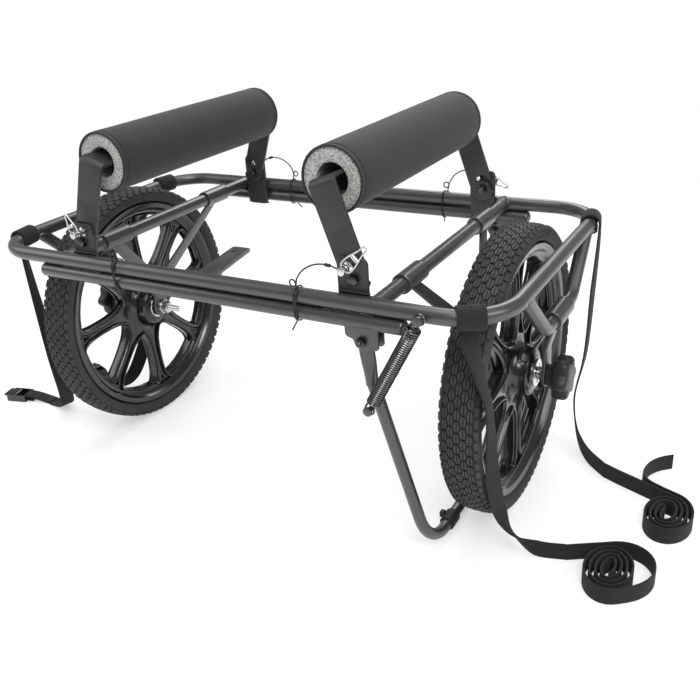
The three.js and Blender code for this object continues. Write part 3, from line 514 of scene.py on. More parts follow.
# A smooth curve through the points, from place 0 to 1
def centripetal(points, place):
    last = len(points) - 1
    spot = place * last
    index = min(int(spot), last - 1)
    weight = spot - index
    p1, p2 = points[index], points[index + 1]
    p0 = points[index - 1] if index > 0 else 2 * points[0] - points[1]
    p3 = points[index + 2] if index + 2 <= last else 2 * points[last] - points[last - 1]
    d0, d1, d2 = (max(np.linalg.norm(b - a) ** 0.5, 1e-4) for a, b in ((p0, p1), (p1, p2), (p2, p3)))
    t1 = ((p1 - p0) / d0 - (p2 - p0) / (d0 + d1) + (p2 - p1) / d1) * d1
    t2 = ((p2 - p1) / d1 - (p3 - p1) / (d1 + d2) + (p3 - p2) / d2) * d1
    c2 = -3 * p1 + 3 * p2 - 2 * t1 - t2
    c3 = 2 * p1 - 2 * p2 + t1 + t2
    return p1 + t1 * weight + c2 * weight ** 2 + c3 * weight ** 3


def layCord(piece, line, diameter, **facts):
    length = sum(np.linalg.norm(b - a) for a, b in zip(line, line[1:])) * mm
    path = [tuple(p * mm) for p in line]
    print(piece.name, "length", round(length, 4))


# Straps: the loose stretches run as in the part's source, with another twist in the two on the right
strapPlan = {
    "width": 25,
    "thickness": 2.4,
    "floor": 0.4,
    "wrapRadius": 13,
    "wrapBulk": 1.35,
    "wrapSteps": 24,
    "easing": 5,
    "substeps": 8,
    "stepsPerTurn": 48,
    "pitch": 7.2,
}
strapHeight = strapPlan["floor"] + strapPlan["width"] / 2  # of a coil's middle, on its edge
bucklePlan = {
    "length": 40, "bar": (-16, 7.5), "barRadius": 2.2, "wayRound": 3.6,
    "pivot": (6, 0, 9), "leverWidth": 24.6,
    "left_front": {"x": -612, "y": -96, "turn": 194},
    "left_rear": {"x": -545, "y": 38, "turn": 160},
}


def looseLine(centre, alongTube, points, fromAngle=-135, toAngle=180):
    centre, tubeWay = np.array(centre, float), np.array(alongTube, float)
    up = np.array((0, 0, 1.0))
    out = np.cross(tubeWay, up)
    wrap = [
        centre + strapPlan["wrapRadius"] * (a * out + b * up)
        for a, b in arc(0, 0, 1, fromAngle, toAngle, strapPlan["wrapSteps"])
    ]
    knots = [wrap[-1]] + [np.array(p[:3], float) for p in points]
    ways = [tubeWay] + [np.array(p[3:], float) for p in points]
    steps = strapPlan["substeps"] * len(points)
    hang, across = [], []
    for i in range(1, steps + 1):
        spot = i / strapPlan["substeps"]
        before = min(int(spot), len(points) - 1)
        hang.append(centripetal(knots, i / steps))
        across.append(ways[before] + (ways[before + 1] - ways[before]) * (spot - before))
    return wrap + hang, [tubeWay] * len(wrap) + across


# A coil winds inwards, and one with a tail is folded in its middle and comes out again beside itself
def coilLine(centre, semiAxes, firstAngle, turns, swing=0, swingAngle=0, tail=()):
    plies = 2 if tail else 1
    steps = int(turns * strapPlan["stepsPerTurn"])

    def layer(inset):
        made = []
        for i in range(steps + 1):
            turn = i / strapPlan["stepsPerTurn"]
            angle = math.radians(firstAngle) - 2 * math.pi * turn
            bulge = max(0.0, math.cos(angle - math.radians(swingAngle))) ** 2
            outwards = (swing * bulge if turn < 1 else 0) - strapPlan["pitch"] * (plies * turn + inset)
            x = centre[0] + (semiAxes[0] + outwards) * math.cos(angle)
            made.append(np.array((x, centre[1] + (semiAxes[1] + outwards) * math.sin(angle), strapHeight)))
        return made

    inwards = layer(plies - 1)
    if not tail:
        return inwards
    outwards = layer(0)[::-1]
    middle = (inwards[-1] + outwards[0]) / 2
    spoke = inwards[-1] - middle
    onwards = inwards[-1] - inwards[-2]
    onwards *= np.linalg.norm(spoke) / np.linalg.norm(onwards)
    fold = [middle + spoke * c + onwards * s for c, s in arc(0, 0, 1, 0, 180, 8)[1:-1]]
    knots = [outwards[-1]] + [np.array((x, y, strapHeight)) for x, y in tail]
    steps = 6 * len(tail)
    return inwards + fold + outwards + [centripetal(knots, i / steps) for i in range(1, steps + 1)]


def buckleEnd(name):
    spot, wayRound = bucklePlan[name], bucklePlan["wayRound"]
    barX, barZ = bucklePlan["bar"]
    cos, sin = math.cos(math.radians(spot["turn"])), math.sin(math.radians(spot["turn"]))
    route = [
        (-62, 2.6), (-42, 8), (-29, barZ + 3), (barX, barZ + wayRound),
        (barX + wayRound, barZ), (barX, barZ - wayRound), (-29, 3.6), (-36, 3.4),
    ]
    return [
        (spot["x"] + u * cos, spot["y"] + u * sin, z + strapPlan["floor"], -sin, cos, 0)
        for u, z in route
    ]


# A loose point is a place and the way across the webbing
strapRoutes = {
    "left_front": {
        "loose": {
            "centre": (-396.8, -166, 371), "alongTube": (-0.186, 0.983, 0),
            "points": [
                (-411, -166, 345, -0.6, 0.8, 0), (-412, -161, 250, -0.35, 0.93, 0),
                (-425, -146, 150, -0.1, 1, 0), (-452, -118, 60, 0.2, 1, 0),
                (-486, -94, 14, 0.3, 1, 0), (-520, -84, 3, 0.25, 1, 0),
            ] + buckleEnd("left_front"),
        },
    },
    "left_rear": {
        "loose": {
            "centre": (-396.8, 166, 371), "alongTube": (0.186, 0.983, 0),
            "points": [
                (-411, 166, 345, 0, 1, 0), (-413, 157, 250, 0, 1, 0), (-416, 125, 165, 0, 1, 0.3),
                (-420, 72, 92, 0.3, 1, 0.6), (-430, 30, 30, 0.7, 1, 0.5), (-452, 12, 5, 0.6, 1, 0.1),
                (-480, 14, 1.6, 0.35, 1, 0),
            ] + buckleEnd("left_rear"),
        },
    },
    "right_front": {
        "loose": {
            "centre": (363, -213.6, 371), "alongTube": (0.866, 0.5, 0),
            "points": [
                (357.5, -203.8, 345, 0.6, 0.8, 0), (365.5, -198.5, 300, 0.05, 1, 0),
                (375.5, -189, 252, -0.1, 0.99, 0), (376, -180, 205, 0.05, 1, 0),
                (376, -169, 131, 0.4, 0.9, 0.1), (379, -140, 58, 0.2, 0.85, -0.2),
                (396, -133, 25, -0.24, 0.75, -0.62), (424, -132, 14.2, 0, 0, -1),
                (462, -122.5, 12.9, 0, 0, -1),
            ],
        },
        "arrival": [(487, -107.7)],
        "coil": {
            "centre": (521, -140), "semiAxes": (37, 47), "firstAngle": 115, "turns": 4.5,
            "swing": 20, "swingAngle": 30,
        },
    },
    "right_rear": {
        "loose": {
            "centre": (396.5, 167.6, 371), "alongTube": (-0.208, 0.978, 0), "fromAngle": 315, "toAngle": 0,
            "points": [
                (409, 171, 345, -0.1, 0.99, 0), (404, 178, 264, 0.02, 1, 0),
                (398, 183, 152, -0.05, 1, -0.1), (386, 181, 70, -0.2, 0.93, -0.3),
                (398, 160, 26, -0.15, 0.6, -0.75), (411, 139, 16, -0.05, 0.2, -1),
                (430, 113, 13.2, 0, 0, -1), (460, 85, 12.9, 0, 0, -1),
            ],
        },
        "arrival": [(484, 74.5), (512, 64)],
        "coil": {
            "centre": (563, 3), "semiAxes": (37, 47), "firstAngle": 73, "turns": 1.8,
            "tail": [(545, 59), (529, 67), (519, 78), (517, 96), (522, 118), (534, 136), (548, 148)],
        },
    },
}


def strapPiece(name, route):
    line, across = looseLine(**route["loose"])
    if "coil" in route:
        wound = [np.array((x, y, strapHeight)) for x, y in route["arrival"]] + coilLine(**route["coil"])
        line += wound
        across += [across[-1]] * len(wound)
    section = roundedSection(strapPlan["width"] / 2, strapPlan["thickness"] / 2, 0.7, 2)
    easing = [strapPlan["wrapSteps"], strapPlan["wrapSteps"] + strapPlan["easing"]]
    bulk = np.interp(range(len(line)), easing, [strapPlan["wrapBulk"], 1])
    form = sweep(line, section, across, sizes=bulk)
    also = ["strap_coil_" + name] if "coil" in route else []
    return show("strap_" + name, form, "frame", "webbing", also=also, sharp=50), line


def buckleForms():
    cup = [(-15, 0), (15, 0), (15, 13), (13, 13), (13, 2), (-13, 2), (-13, 13), (-15, 13)]
    length, leverWidth = bucklePlan["length"], bucklePlan["leverWidth"]
    barX, barZ = bucklePlan["bar"]
    x, _, z = bucklePlan["pivot"]
    body = plate([cup], length, 0.35, "x", -length / 2)
    body.join(rod((barX, -14, barZ), (barX, 14, barZ), bucklePlan["barRadius"]))
    body.join(*(rod((x, side * 13.2, z), (x, side * 16.2, z), 2.6) for side in (-1, 1)))
    outline = arc(0, 0, 4, 90, 252, 10) + [(5, -2.6), (22, 1.6), (21, 4)]
    lever = plate([outline], leverWidth, 0.4, "y", -leverWidth / 2)
    for k in range(7):
        ridgeX, ridgeY = -3.4 - 0.1 * k, 3.6 * k - 11
        lever.join(rod((ridgeX, ridgeY, -2.4), (ridgeX, ridgeY + 2, -2.4), 0.7, 8, 0.2))
    return body, lever.join(rod((0, -12.8, 0), (0, 12.8, 0), 1.9))


def addStraps():
    body, lever = buckleForms()
    for name, route in strapRoutes.items():
        piece, line = strapPiece(name, route)
        extras = []
        if name in bucklePlan:
            spot = bucklePlan[name]
            place = Matrix.Translation((spot["x"], spot["y"], strapPlan["floor"]))
            place = place @ Matrix.Rotation(math.radians(spot["turn"]), 4, "Z")
            pivot = place @ Matrix.Translation(bucklePlan["pivot"])
            node = "buckle_lever_" + name
            extras = [
                show("buckle_" + name, body.moved(place), "frame", "black_steel"),
                show(node, lever.moved(pivot), node, "zinc_steel", "black_steel"),
            ]
        layCord(
            piece, line, strapPlan["width"], far_end="fitting" if extras else "bare",
            stiffness="limp", lay="coiled" if "coil" in route else "loose", with_pieces=extras,
        )


# Lanyards: thin wires from beside each lock pin, with a small loop, wound 1.4 times round both rails
lanyardPlan = {
    "start": (205.47, 225.5, 412), "loopX": 150, "radius": 1.0, "wrap": 11.6, "depth": 223,
    "tube": 371, "rail": 350.5, "loop": 4.5, "drift": 5, "steps": 12, "crimps": (8, 58),
}


def lanyardLine(sign, side):
    plan = lanyardPlan
    loopX, loop = plan["loopX"], plan["loop"]
    knots = [
        plan["start"], (plan["start"][0] - 11, 229, 417), (loopX + 26, 231, 416),
        (loopX + 10, 233, 407), (loopX + 2, 233, 396), (loopX, 232, 391),
    ]
    line = [centripetal([np.array(k, float) for k in knots], i / 40) for i in range(40)]
    for k, (a, b) in enumerate(arc(0, 0, loop, 0, 360, 12)):
        line.append(np.array((loopX - loop + a, 232 + 0.12 * k, 390 - b)))
    spots = []
    for first, last, tube in ((60, 0, "tube"), (0, -180, "rail"), (180, 0, "tube"), (0, -70, "rail")):
        spots += arc(plan["depth"], plan[tube], plan["wrap"], first, last, plan["steps"])
    line += [np.array((loopX - 1 - plan["drift"] * k / len(spots), y, z)) for k, (y, z) in enumerate(spots)]
    tail = [line[-1], np.array((loopX - 8, 231.5, 334)), np.array((loopX - 10, 235, 328))]
    line += [centripetal(tail, i / 8) for i in range(1, 9)]
    return [p * np.array((sign, side, 1)) for p in line]


def addLanyards():
    radius = lanyardPlan["radius"]
    for end, side in (("front", -1), ("rear", 1)):
        for hand, sign in (("right", 1), ("left", -1)):
            line = lanyardLine(sign, side)
            form = sweep(line, ringOf(radius, 8))
            form.join(*(rod(line[k - 2], line[k + 2], 2.1, 10, 0.4) for k in lanyardPlan["crimps"]))
            piece = show("lanyard_" + end + "_" + hand, form, "frame", "black_steel", "wire_coat")
            layCord(piece, line, 2 * radius, far_end="object", stiffness="stiff", lay="loose")


addStraps()
addLanyards()
report("straps and lanyards")


# Frame tubes: inside is where the plates between the front and rear tubes start, from the middle
framePlan = {
    "halfWidth": 398, "halfDepth": 223, "height": 371, "corner": 70, "tube": 10, "inside": 212.7,
    "railHeight": 350.5, "railEnds": (-298, 290), "dome": 0.6, "crossX": 248, "crossHalf": 217,
    "tabX": 215, "tabHalf": 28.5, "tabTop": 363, "tabWelds": (-28, -9, 9, 28), "standPivot": (234, 327),
    "dropTop": 140, "dropHalf": 58, "dropX": 402, "dropHeight": 296, "dropRadius": 9.5, "dropBend": 32,
    "wheelX": 340, "axle": 203, "stud": (314, 372),
}
studPlan = {"radius": 3.6, "end": -246, "head": [(0, -3), (4.5, -3), (6, -2), (6, 0.6), (5, 0), (0, -0.2)]}
weldPlan = {"radius": 1.7, "steps": 72, "ripples": 18, "ripple": 0.22}
towPlan = {
    "halfWidth": 16, "tip": -117, "tipX": (-6, -26), "tipRadius": 5, "hole": (-17, -131, 5),
    "low": 374, "thickness": 4, "flange": (341, 377),
}


# The seam where a branch tube meets a main tube
def weldBead(centre, mainWay, branchWay, branchRadius):
    main, branch = Vector(mainWay).normalized(), Vector(branchWay).normalized()
    branch = (branch - main * branch.dot(main)).normalized()
    side = main.cross(branch)
    tube = framePlan["tube"]
    path, sizes = [], []
    for turn in around(weldPlan["steps"]):
        u, v = branchRadius * math.cos(turn), branchRadius * math.sin(turn)
        reach = math.sqrt(tube ** 2 - min(abs(v), tube) ** 2)
        path.append(Vector(centre) + main * u + side * v + branch * reach)
        sizes.append(1 + weldPlan["ripple"] * math.sin(weldPlan["ripples"] * turn))
    return sweep(path, ringOf(weldPlan["radius"], 8), closed=True, sizes=sizes)


def studForm(x, z, fromY):
    end = studPlan["end"]
    head = [(r, end + d) for r, d in studPlan["head"]]
    return rod((x, fromY, z), (x, end, z), studPlan["radius"]).join(turned(head, "y", 24, (x, 0, z)))


def upperHoop():
    plan = framePlan
    w, d, z = plan["halfWidth"], plan["halfDepth"], plan["height"]
    corners = [(-w, -d, z), (w, -d, z), (w, d, z), (-w, d, z)]
    form = sweep(bent(corners, plan["corner"], 16, True), ringOf(plan["tube"], 32), (0, 0, 1), True)
    for sx in (-1, 1):
        for sy in (-1, 1):
            form.join(weldBead((sx * plan["crossX"], sy * d, z), (1, 0, 0), (0, -sy, 0), plan["tube"]))
            lean = (-0.05 * sx, -0.74 * sy, -0.67)
            form.join(weldBead((sx * w, sy * plan["dropTop"], z), (0, 1, 0), lean, plan["dropRadius"]))
    return form.join(studForm(*plan["stud"], -d))


def lowerRail(side):
    plan = framePlan
    y, z = side * plan["halfDepth"], plan["railHeight"]
    left, right = plan["railEnds"]
    dome = [(d * plan["dome"], r) for d, r in arc(0, 0, plan["tube"], 90, 0, 6)]
    deep = plan["tube"] * plan["dome"]
    profile = [(r, left + deep - d) for d, r in dome[::-1]] + [(r, right - deep + d) for d, r in dome]
    form = turned(profile, "x", 32, (0, y, z))
    for x in (-plan["tabX"], plan["tabX"]):
        lowest, highest = (x - plan["tabHalf"], y - 3, z + 8), (x + plan["tabHalf"], y + 3, plan["tabTop"])
        form.join(box(lowest, highest, 0.5))
        for offset in plan["tabWelds"]:
            form.join(*(weldLine(x + offset, y + face, 360, 7, 1.5) for face in (-3.2, 3.2)))
    pivotX, pivotZ = plan["standPivot"]
    cheek = [(212, z - 4), (212, 334), (215, 331), (222, 329)]
    cheek += arc(pivotX, pivotZ - 0.5, 9.5, 205, 290, 10)
    cheek += [(249, 317.5), (254, 318.5), (256, 321), (256, z - 4)]
    hole = circle(pivotX, pivotZ, 4.3)
    return form.join(*(plate([cheek, hole], 3.2, 0.4, "y", y + near) for near in (-8.6, 5.4)))


def crossTube():
    x, reach, z = framePlan["crossX"], framePlan["crossHalf"], framePlan["height"]
    return sweep([(x, -reach, z), (x, 0, z), (x, reach, z)], ringOf(framePlan["tube"], 32))


def dropHoop():
    plan = framePlan
    w, top, x, half = plan["halfWidth"], plan["dropTop"], plan["dropX"], plan["dropHalf"]
    high, low = plan["height"], plan["dropHeight"]
    corners = [(w, -top, high), (x, -half, low), (x, half, low), (w, top, high)]
    return sweep(bent(corners, plan["dropBend"], 12), ringOf(plan["dropRadius"], 32))


def towPlate():
    plan = towPlan
    half, tip, radius, thickness = (plan[key] for key in ("halfWidth", "tip", "tipRadius", "thickness"))
    (right, left), (bottom, top), face = plan["tipX"], plan["flange"], -framePlan["inside"]
    outline = [(-half, face), (half, face), (right + radius, tip)]
    outline += arc(right, tip, radius, 0, 90, 4) + arc(left, tip, radius, 90, 180, 4)
    form = plate([outline, circle(*plan["hole"])], thickness, 0.5, "z", plan["low"])
    form.join(box((-half, face, bottom), (half, face + thickness, top)))
    return form.join(*(weldLine(x, face + 1, 361, 5) for x in (-10, 0, 10)))


for node, form in (
    ("upper_hoop", upperHoop()), ("front_lower_rail", lowerRail(-1)), ("rear_lower_rail", lowerRail(1)),
    ("tow_plate", towPlate()),
):
    show(node, form, "frame", "frame_paint")
onBothHands("inner_cross_tube", crossTube(), "frame", "frame_paint")
onBothHands("drop_hoop", dropHoop(), "frame", "frame_paint")
report("frame tubes")


# Struts between the tubes and the axles
strutPlan = {
    "innerKnee": 236, "innerFoot": 296, "outerKnee": 244, "outerFace": 386.5, "thickness": 4, "weld": 1.6,
    "arm": (134, 111), "footHalf": 12, "footRadius": 17, "axleHole": 6.4, "sleeves": (95, 150),
}


def strutFoot(halfWidth, top, thickness, bevel, low):
    axle = framePlan["axle"]
    outline = arc(0, axle, strutPlan["footRadius"], 180, 360, 16) + [(halfWidth, top), (-halfWidth, top)]
    return plate([outline, circle(0, axle, strutPlan["axleHole"])], thickness, bevel, "x", low)


def innerStrut():
    plan = strutPlan
    x, top, knee, foot = framePlan["crossX"], framePlan["height"], plan["innerKnee"], plan["innerFoot"]
    slant = Vector((foot + 2 - x, 0, knee - top))
    reach, half = slant.length, plan["footHalf"]
    outer, inner = plan["arm"]
    outline = [(-outer, 8), (-half, reach), (half, reach), (outer, 8), (inner, 8)]
    outline += arc(0, reach - 36, 8, 30, 150, 6) + [(-inner, 8)]
    down, across = slant.normalized(), Vector((0, 1, 0))
    turn = Matrix((across, down, across.cross(down))).transposed().to_4x4()
    arms = plate([outline], plan["thickness"], 0.7, "z", -plan["thickness"] / 2)
    form = arms.moved(Matrix.Translation((x, 0, top)) @ turn)
    form.join(strutFoot(half, knee + 3, plan["thickness"], 0.7, foot))
    for side in (-1, 1):
        low, high = sorted(side * y for y in plan["sleeves"])
        form.join(collar(10.1, 13.2, low, high, (0.7, 0.7), "y", centre=(x, 0, top)))
        seam = [(x + 3, side * 122 + along, top - 12.6) for along in (-18, -9, 0, 9, 18)]
        form.join(sweep(seam, ringOf(plan["weld"], 8)))
    return form


def outerStrut():
    face = strutPlan["outerFace"]
    x, low, middle = framePlan["dropX"], framePlan["dropHeight"], face + 2.5
    path = bent([(x, 0, low - 8), (middle, 0, strutPlan["outerKnee"]), (middle, 0, 222)], 20, 6)
    return sweep(path, roundedSection(14, 2.5, 0.8), (0, 1, 0)).join(
        strutFoot(14, 223, 4.9, 0.8, face + 0.05),
        collar(9.6, 13, -30, 30, (0.7, 0.7), "y", centre=(x, 0, low)),
        sweep([(x - 6, along, low - 11.4) for along in (-13, -5, 5, 13)], ringOf(strutPlan["weld"], 8)),
    )


onBothHands("inner_strut", innerStrut(), "frame", "frame_paint")
onBothHands("outer_strut", outerStrut(), "frame", "frame_paint")
report("struts")


# Axle bolts, bearings and knobs. Places are from the cart's middle, but a bearing's are from its wheel's.
# A level of the knob is its place and what is added to its radius there
axlePlan = {
    "centre": (0, 0, framePlan["axle"]), "shank": [(6, 281), (6, 421), (0, 421)], "end": (0, 258),
    "thread": {"radius": 5, "low": 258.5, "high": 279, "pitch": 1.25}, "nut": (10.6, 279.5, 289),
    "washer": (6.1, 12, 289, 295.7, (0.4, 0.5)), "spacers": ((300.3, 302.2), (377.8, 386.2)),
    "bearing": [
        (6.7, 37.3), (8.6, 37.3), (9.2, 36.6), (13.2, 36.6), (13.8, 37.4),
        (19, 37.4), (20, 36.6), (20, 35.3), (17, 35.3), (17, 24), (6.7, 24),
    ],
}
knobPlan = {
    "lobes": 6, "radius": 27.6, "lobe": 3.3, "steps": 96,
    "levels": [(402, -3.4), (403, -1.2), (405, 0), (417, 0), (420.5, -1), (423, -3.4), (424, -7)],
    "neck": [(0, 392), (14.4, 392), (15, 392.6), (15, 403), (0, 403)],
    "rim": [(9, 423.6), (11, 424), (11.6, 423.5), (11.6, 422)],
}


def hexForm(radius, low, high):
    chamfer = radius * 0.12
    full, small = ringOf(radius, 6), ringOf(radius - chamfer, 6)
    levels = [(low, small), (low + chamfer * 0.6, full), (high - chamfer * 0.6, full), (high, small)]
    return Form(*skin([[(d, a, b) for a, b in ring] for d, ring in levels]))


def threadProfile(radius, low, high, pitch):
    profile = [(radius - 0.8, low)]
    for k in range(int((high - low) / pitch)):
        profile += [(radius - 0.55, low + pitch * (k + 0.1)), (radius, low + pitch * (k + 0.5))]
    return profile + [(radius - 0.8, high)]


def facePair(profile, segments, centre=(0, 0, 0)):
    faces = ([(r, sign * d) for r, d in profile] for sign in (-1, 1))
    return Form().join(*(turned(face, "x", segments, centre, True) for face in faces))


def axleBolt():
    plan = axlePlan
    centre = plan["centre"]
    profile = [plan["end"]] + threadProfile(**plan["thread"]) + plan["shank"]
    bolt = turned(profile, "x", 32, centre)
    bolt.join(hexForm(*plan["nut"]).moved(Matrix.Translation(centre)))
    bolt.join(collar(*plan["washer"], segments=40, centre=centre))
    return bolt.join(*(collar(6.1, 9, *span, (0.4, 0.4), centre=centre) for span in plan["spacers"]))


def knobForm():
    plan = knobPlan
    axle = framePlan["axle"]
    rings = []
    for x, shrink in plan["levels"]:
        ring = []
        for turn in around(plan["steps"]):
            radius = plan["radius"] + plan["lobe"] * math.cos(plan["lobes"] * turn) + shrink
            ring.append((x, radius * math.cos(turn), axle + radius * math.sin(turn)))
        rings.append(ring)
    trim = (turned(plan[key], "x", 40, axlePlan["centre"]) for key in ("neck", "rim"))
    return Form(*skin(rings)).join(*trim)


hubCentre = (framePlan["wheelX"], 0, framePlan["axle"])
onBothHands("axle_bolt", axleBolt(), "frame", "zinc_steel")
onBothHands("hub_bearing", facePair(axlePlan["bearing"], 48, hubCentre), "wheel", "zinc_steel")
onBothHands("knob", knobForm(), "knob", "black_plastic", "knob_plastic")
report("axles and knobs")


# Wheels: spokes that fork at the rim, each window and fork with a raised ridge round it on both faces
wheelPlan = {
    "spokes": 8, "phase": 2.5, "hub": 54, "rim": 159, "half": 8, "flare": 12, "flareReach": 13,
    "coreHalf": 7.4, "faceHalf": 12.5, "disc": 163.5, "bore": 30, "fork": (138, 155, 6.4),
    "windowRadii": (54, 58, 64, 74, 90, 110, 128, 140, 149, 158), "windowTop": 158.5,
    "rimFace": [
        (178, 21), (176.5, 22.2), (173.5, 21.6), (169, 20.4), (166.5, 17), (163.6, 12.8), (160.2, 11.5),
        (159.6, 0),
    ],
    "barrelFace": [
        (17.2, -35), (21, -35), (24, -34), (31, -31.8), (33, -29.6), (33.8, -22), (36, -14.5), (41, -9.6),
        (50, -7),
    ],
    "lip": [(20.6, 34.8), (24, 34.8), (25, 33.2), (25, 30), (20.6, 30)],
}


def spokeHalf(r):
    flare, flareReach = wheelPlan["flare"], wheelPlan["flareReach"]
    edges = (r - wheelPlan["hub"], wheelPlan["rim"] - r)
    return sum((flare * math.exp(-away / flareReach) for away in edges), wheelPlan["half"])


def polar(r, angle, side=0.0):
    return (r * math.cos(angle) - side * math.sin(angle), r * math.sin(angle) + side * math.cos(angle))


def rounded(corners, radius, steps=4):
    made = []
    count = len(corners)
    for i in range(count):
        before, corner, after = (Vector(corners[(i + k) % count]) for k in (-1, 0, 1))
        into, out = (corner - before), (after - corner)
        reach = min(radius, into.length * 0.45, out.length * 0.45)
        start, end = corner - into.normalized() * reach, corner + out.normalized() * reach
        for k in range(steps + 1):
            t = k / steps
            made.append(tuple(start * (1 - t) ** 2 + corner * 2 * t * (1 - t) + end * t ** 2))
    return made


def windowOutline(k, inset=0.0):
    gap = 2 * math.pi / wheelPlan["spokes"]
    start = math.radians(wheelPlan["phase"]) + gap * k
    edges = [(r, math.asin((spokeHalf(r) + inset) / r)) for r in wheelPlan["windowRadii"]]
    near = [polar(r, start + turn) for r, turn in edges]
    far = [polar(r, start + gap - turn) for r, turn in edges[::-1]]
    return near + [polar(wheelPlan["windowTop"], start + gap * t) for t in (0.35, 0.5, 0.65)] + far


def ridge(outline, size, across, crown):
    section = [(a * across / size, b) for a, b in ringOf(size, 12)]
    paths = ([(side * (crown - size), y, z) for y, z in outline] for side in (-1, 1))
    return Form().join(*(sweep(path, section, closed=True) for path in paths))


def wheelForm():
    plan = wheelPlan
    spokes, core, (low, high, side) = plan["spokes"], plan["coreHalf"], plan["fork"]
    angles = [math.radians(plan["phase"] + 360 / spokes * k) for k in range(spokes)]
    forks = [rounded([polar(low, a), polar(high, a, side), polar(high, a, -side)], 3, 3) for a in angles]
    windows = [windowOutline(k) for k in range(spokes)]
    outlines = [circle(0, 0, plan["disc"], 160), circle(0, 0, plan["bore"], 48)] + windows + forks
    form = plate(outlines, 2 * core, 1.2, "x", -core)
    for k in range(spokes):
        form.join(ridge(rounded(windowOutline(k, -2.3), 6), 4.6, 2.5, plan["faceHalf"]))
        form.join(ridge(forks[k], 2.6, 1.5, core + 2.2))
    rim = plan["rimFace"] + [(r, -d) for r, d in plan["rimFace"][-2::-1]]
    form.join(turned(rim, "x", 160, closed=True))
    form.join(turned(bothSides(plan["barrelFace"]), "x", 80, closed=True))
    return form.join(facePair(plan["lip"], 60)).moved(Matrix.Translation(hubCentre))


onBothHands("wheel", wheelForm(), "wheel", "black_plastic")
report("wheels")


# Tyres: a smooth casing with ribbed walls, rows of split hexagonal blocks and notched shoulders.
# A row is its place across the tyre, its shift in pitches, the half width of its blocks and their height
tyrePlan = {
    "blocks": 80, "seed": 7, "segments": 144, "slit": 0.07, "span": 0.94, "slant": 0.12, "drop": 0.35,
    "casing": [
        (178.6, -17), (180, -21), (183, -25), (188, -26.9), (192, -26.6), (195.5, -24), (198.4, -18),
        (199.6, -8),
    ],
    "wallRibs": ((184.2, 25.6), (187.4, 26.9), (190.4, 26.9)),
    "rows": [
        (0, 0, 4.6, 3.2), (8.4, 0.5, 4.6, 3.1), (-8.4, 0.5, 4.6, 3.1), (16.2, 0, 4.1, 2.9),
        (-16.2, 0, 4.1, 2.9),
    ],
    "shoulder": [(194, 24.2, 0.82), (198.6, 20.4, 0.9), (200.8, 22.2, 0.8), (196.4, 26.3, 0.7)],
}
tyrePitch = 2 * math.pi / tyrePlan["blocks"]


def surfaceRadius(x):
    return float(np.interp(abs(x), [0, 8, 18, 24], [199.6, 199.6, 198.4, 195.5]))


def slope(x):
    return 0.0 if abs(x) < 8 else 0.12 if abs(x) < 12 else 0.3


def treadBlock(x, middle, slant, split, levels, halfAcross):
    slit, span = tyrePlan["slit"], tyrePlan["span"]
    corners = [(slit, -span), (0.5, -span), (1, slant), (0.5, span), (slit, span)]
    halfTurn = tyrePitch * 0.5 - 0.0032
    block = []
    for level, shrink in levels:
        ring = []
        for u, v in corners:
            across = x + split * (0.5 + (u - 0.5) * shrink) * halfAcross
            turn = middle + v * shrink * halfTurn
            r = level - (abs(across) - abs(x)) * slope(x)
            ring.append((across, r * math.cos(turn), r * math.sin(turn)))
        block.append(ring)
    return Form(*skin(block))


def treadRows():
    rng = random.Random(tyrePlan["seed"])
    form = Form()
    for x, shift, halfAcross, height in tyrePlan["rows"]:
        inner, outer = surfaceRadius(x) - 1, surfaceRadius(x) + height
        for k in range(tyrePlan["blocks"]):
            middle = tyrePitch * (k + shift) + rng.uniform(-0.0016, 0.0016)
            slant = rng.uniform(-tyrePlan["slant"], tyrePlan["slant"])
            for split in (-1, 1):
                top = outer - rng.uniform(0, tyrePlan["drop"])
                levels = ((inner, 1.0), (top - 0.5, 0.98), (top, 0.9))
                form.join(treadBlock(x, middle, slant, split, levels, halfAcross))
    return form


def shoulderBlocks():
    form = Form()
    faces = [[0, 1, 3, 2], [2, 3, 5, 4], [4, 5, 7, 6], [6, 7, 1, 0], [0, 2, 4, 6], [1, 7, 5, 3]]
    for sign in (-1, 1):
        for k in range(tyrePlan["blocks"]):
            points = []
            for r, x, widen in tyrePlan["shoulder"]:
                half = tyrePitch * 0.5 * widen - 0.004
                turns = (tyrePitch * (k + 0.5) + half * t for t in (-1, 1))
                points += [(sign * x, r * math.cos(turn), r * math.sin(turn)) for turn in turns]
            form.add(points, faces)
    return form


def tyreForm():
    segments = tyrePlan["segments"]
    form = turned(bothSides(tyrePlan["casing"]), "x", segments, closed=True)
    for r, half in tyrePlan["wallRibs"]:
        form.join(facePair([(r - 0.35, half - 0.5), (r, half + 0.1), (r + 0.35, half - 0.5)], segments))
    return form.join(treadRows(), shoulderBlocks()).moved(Matrix.Translation(hubCentre))


onBothHands("tyre", tyreForm(), "wheel", "tyre_rubber")
report("tyres")


# Bunks: bracket plates, bent bar, foam and sleeve. The bar stands upright until bunkMatrix leans it
bunkPlan = {
    "pivot": (218, 396), "lean": 19, "height": 120, "width": 37, "thickness": 5, "bend": 7, "legTop": 60,
    "outer": 208.4, "pinReach": 17, "pinHole": 4.1, "pivotHole": 4.3, "padHeight": 114, "boltHead": 7,
    "bracket": (196, 236.5, 337, 423), "bracketCorner": 8, "bracketWelds": (362.5, 380.5, 338.5),
    "foam": [(21, 183.4), (22, 183.8), (37.6, 183.8), (38.4, 183.4)],
    "sleeve": [
        (38.6, -181), (38.2, -184.5), (38.8, -185.9), (40.4, -186), (41.6, -184.7), (41.4, -181.4),
        (41.0, -178.9), (41.1, -176.9), (41.75, -171.9), (41.8, -150), (41.85, -110), (41.8, -70),
        (41.85, -30),
    ],
    "seam": (41.6, 177.9, 0.35),
}


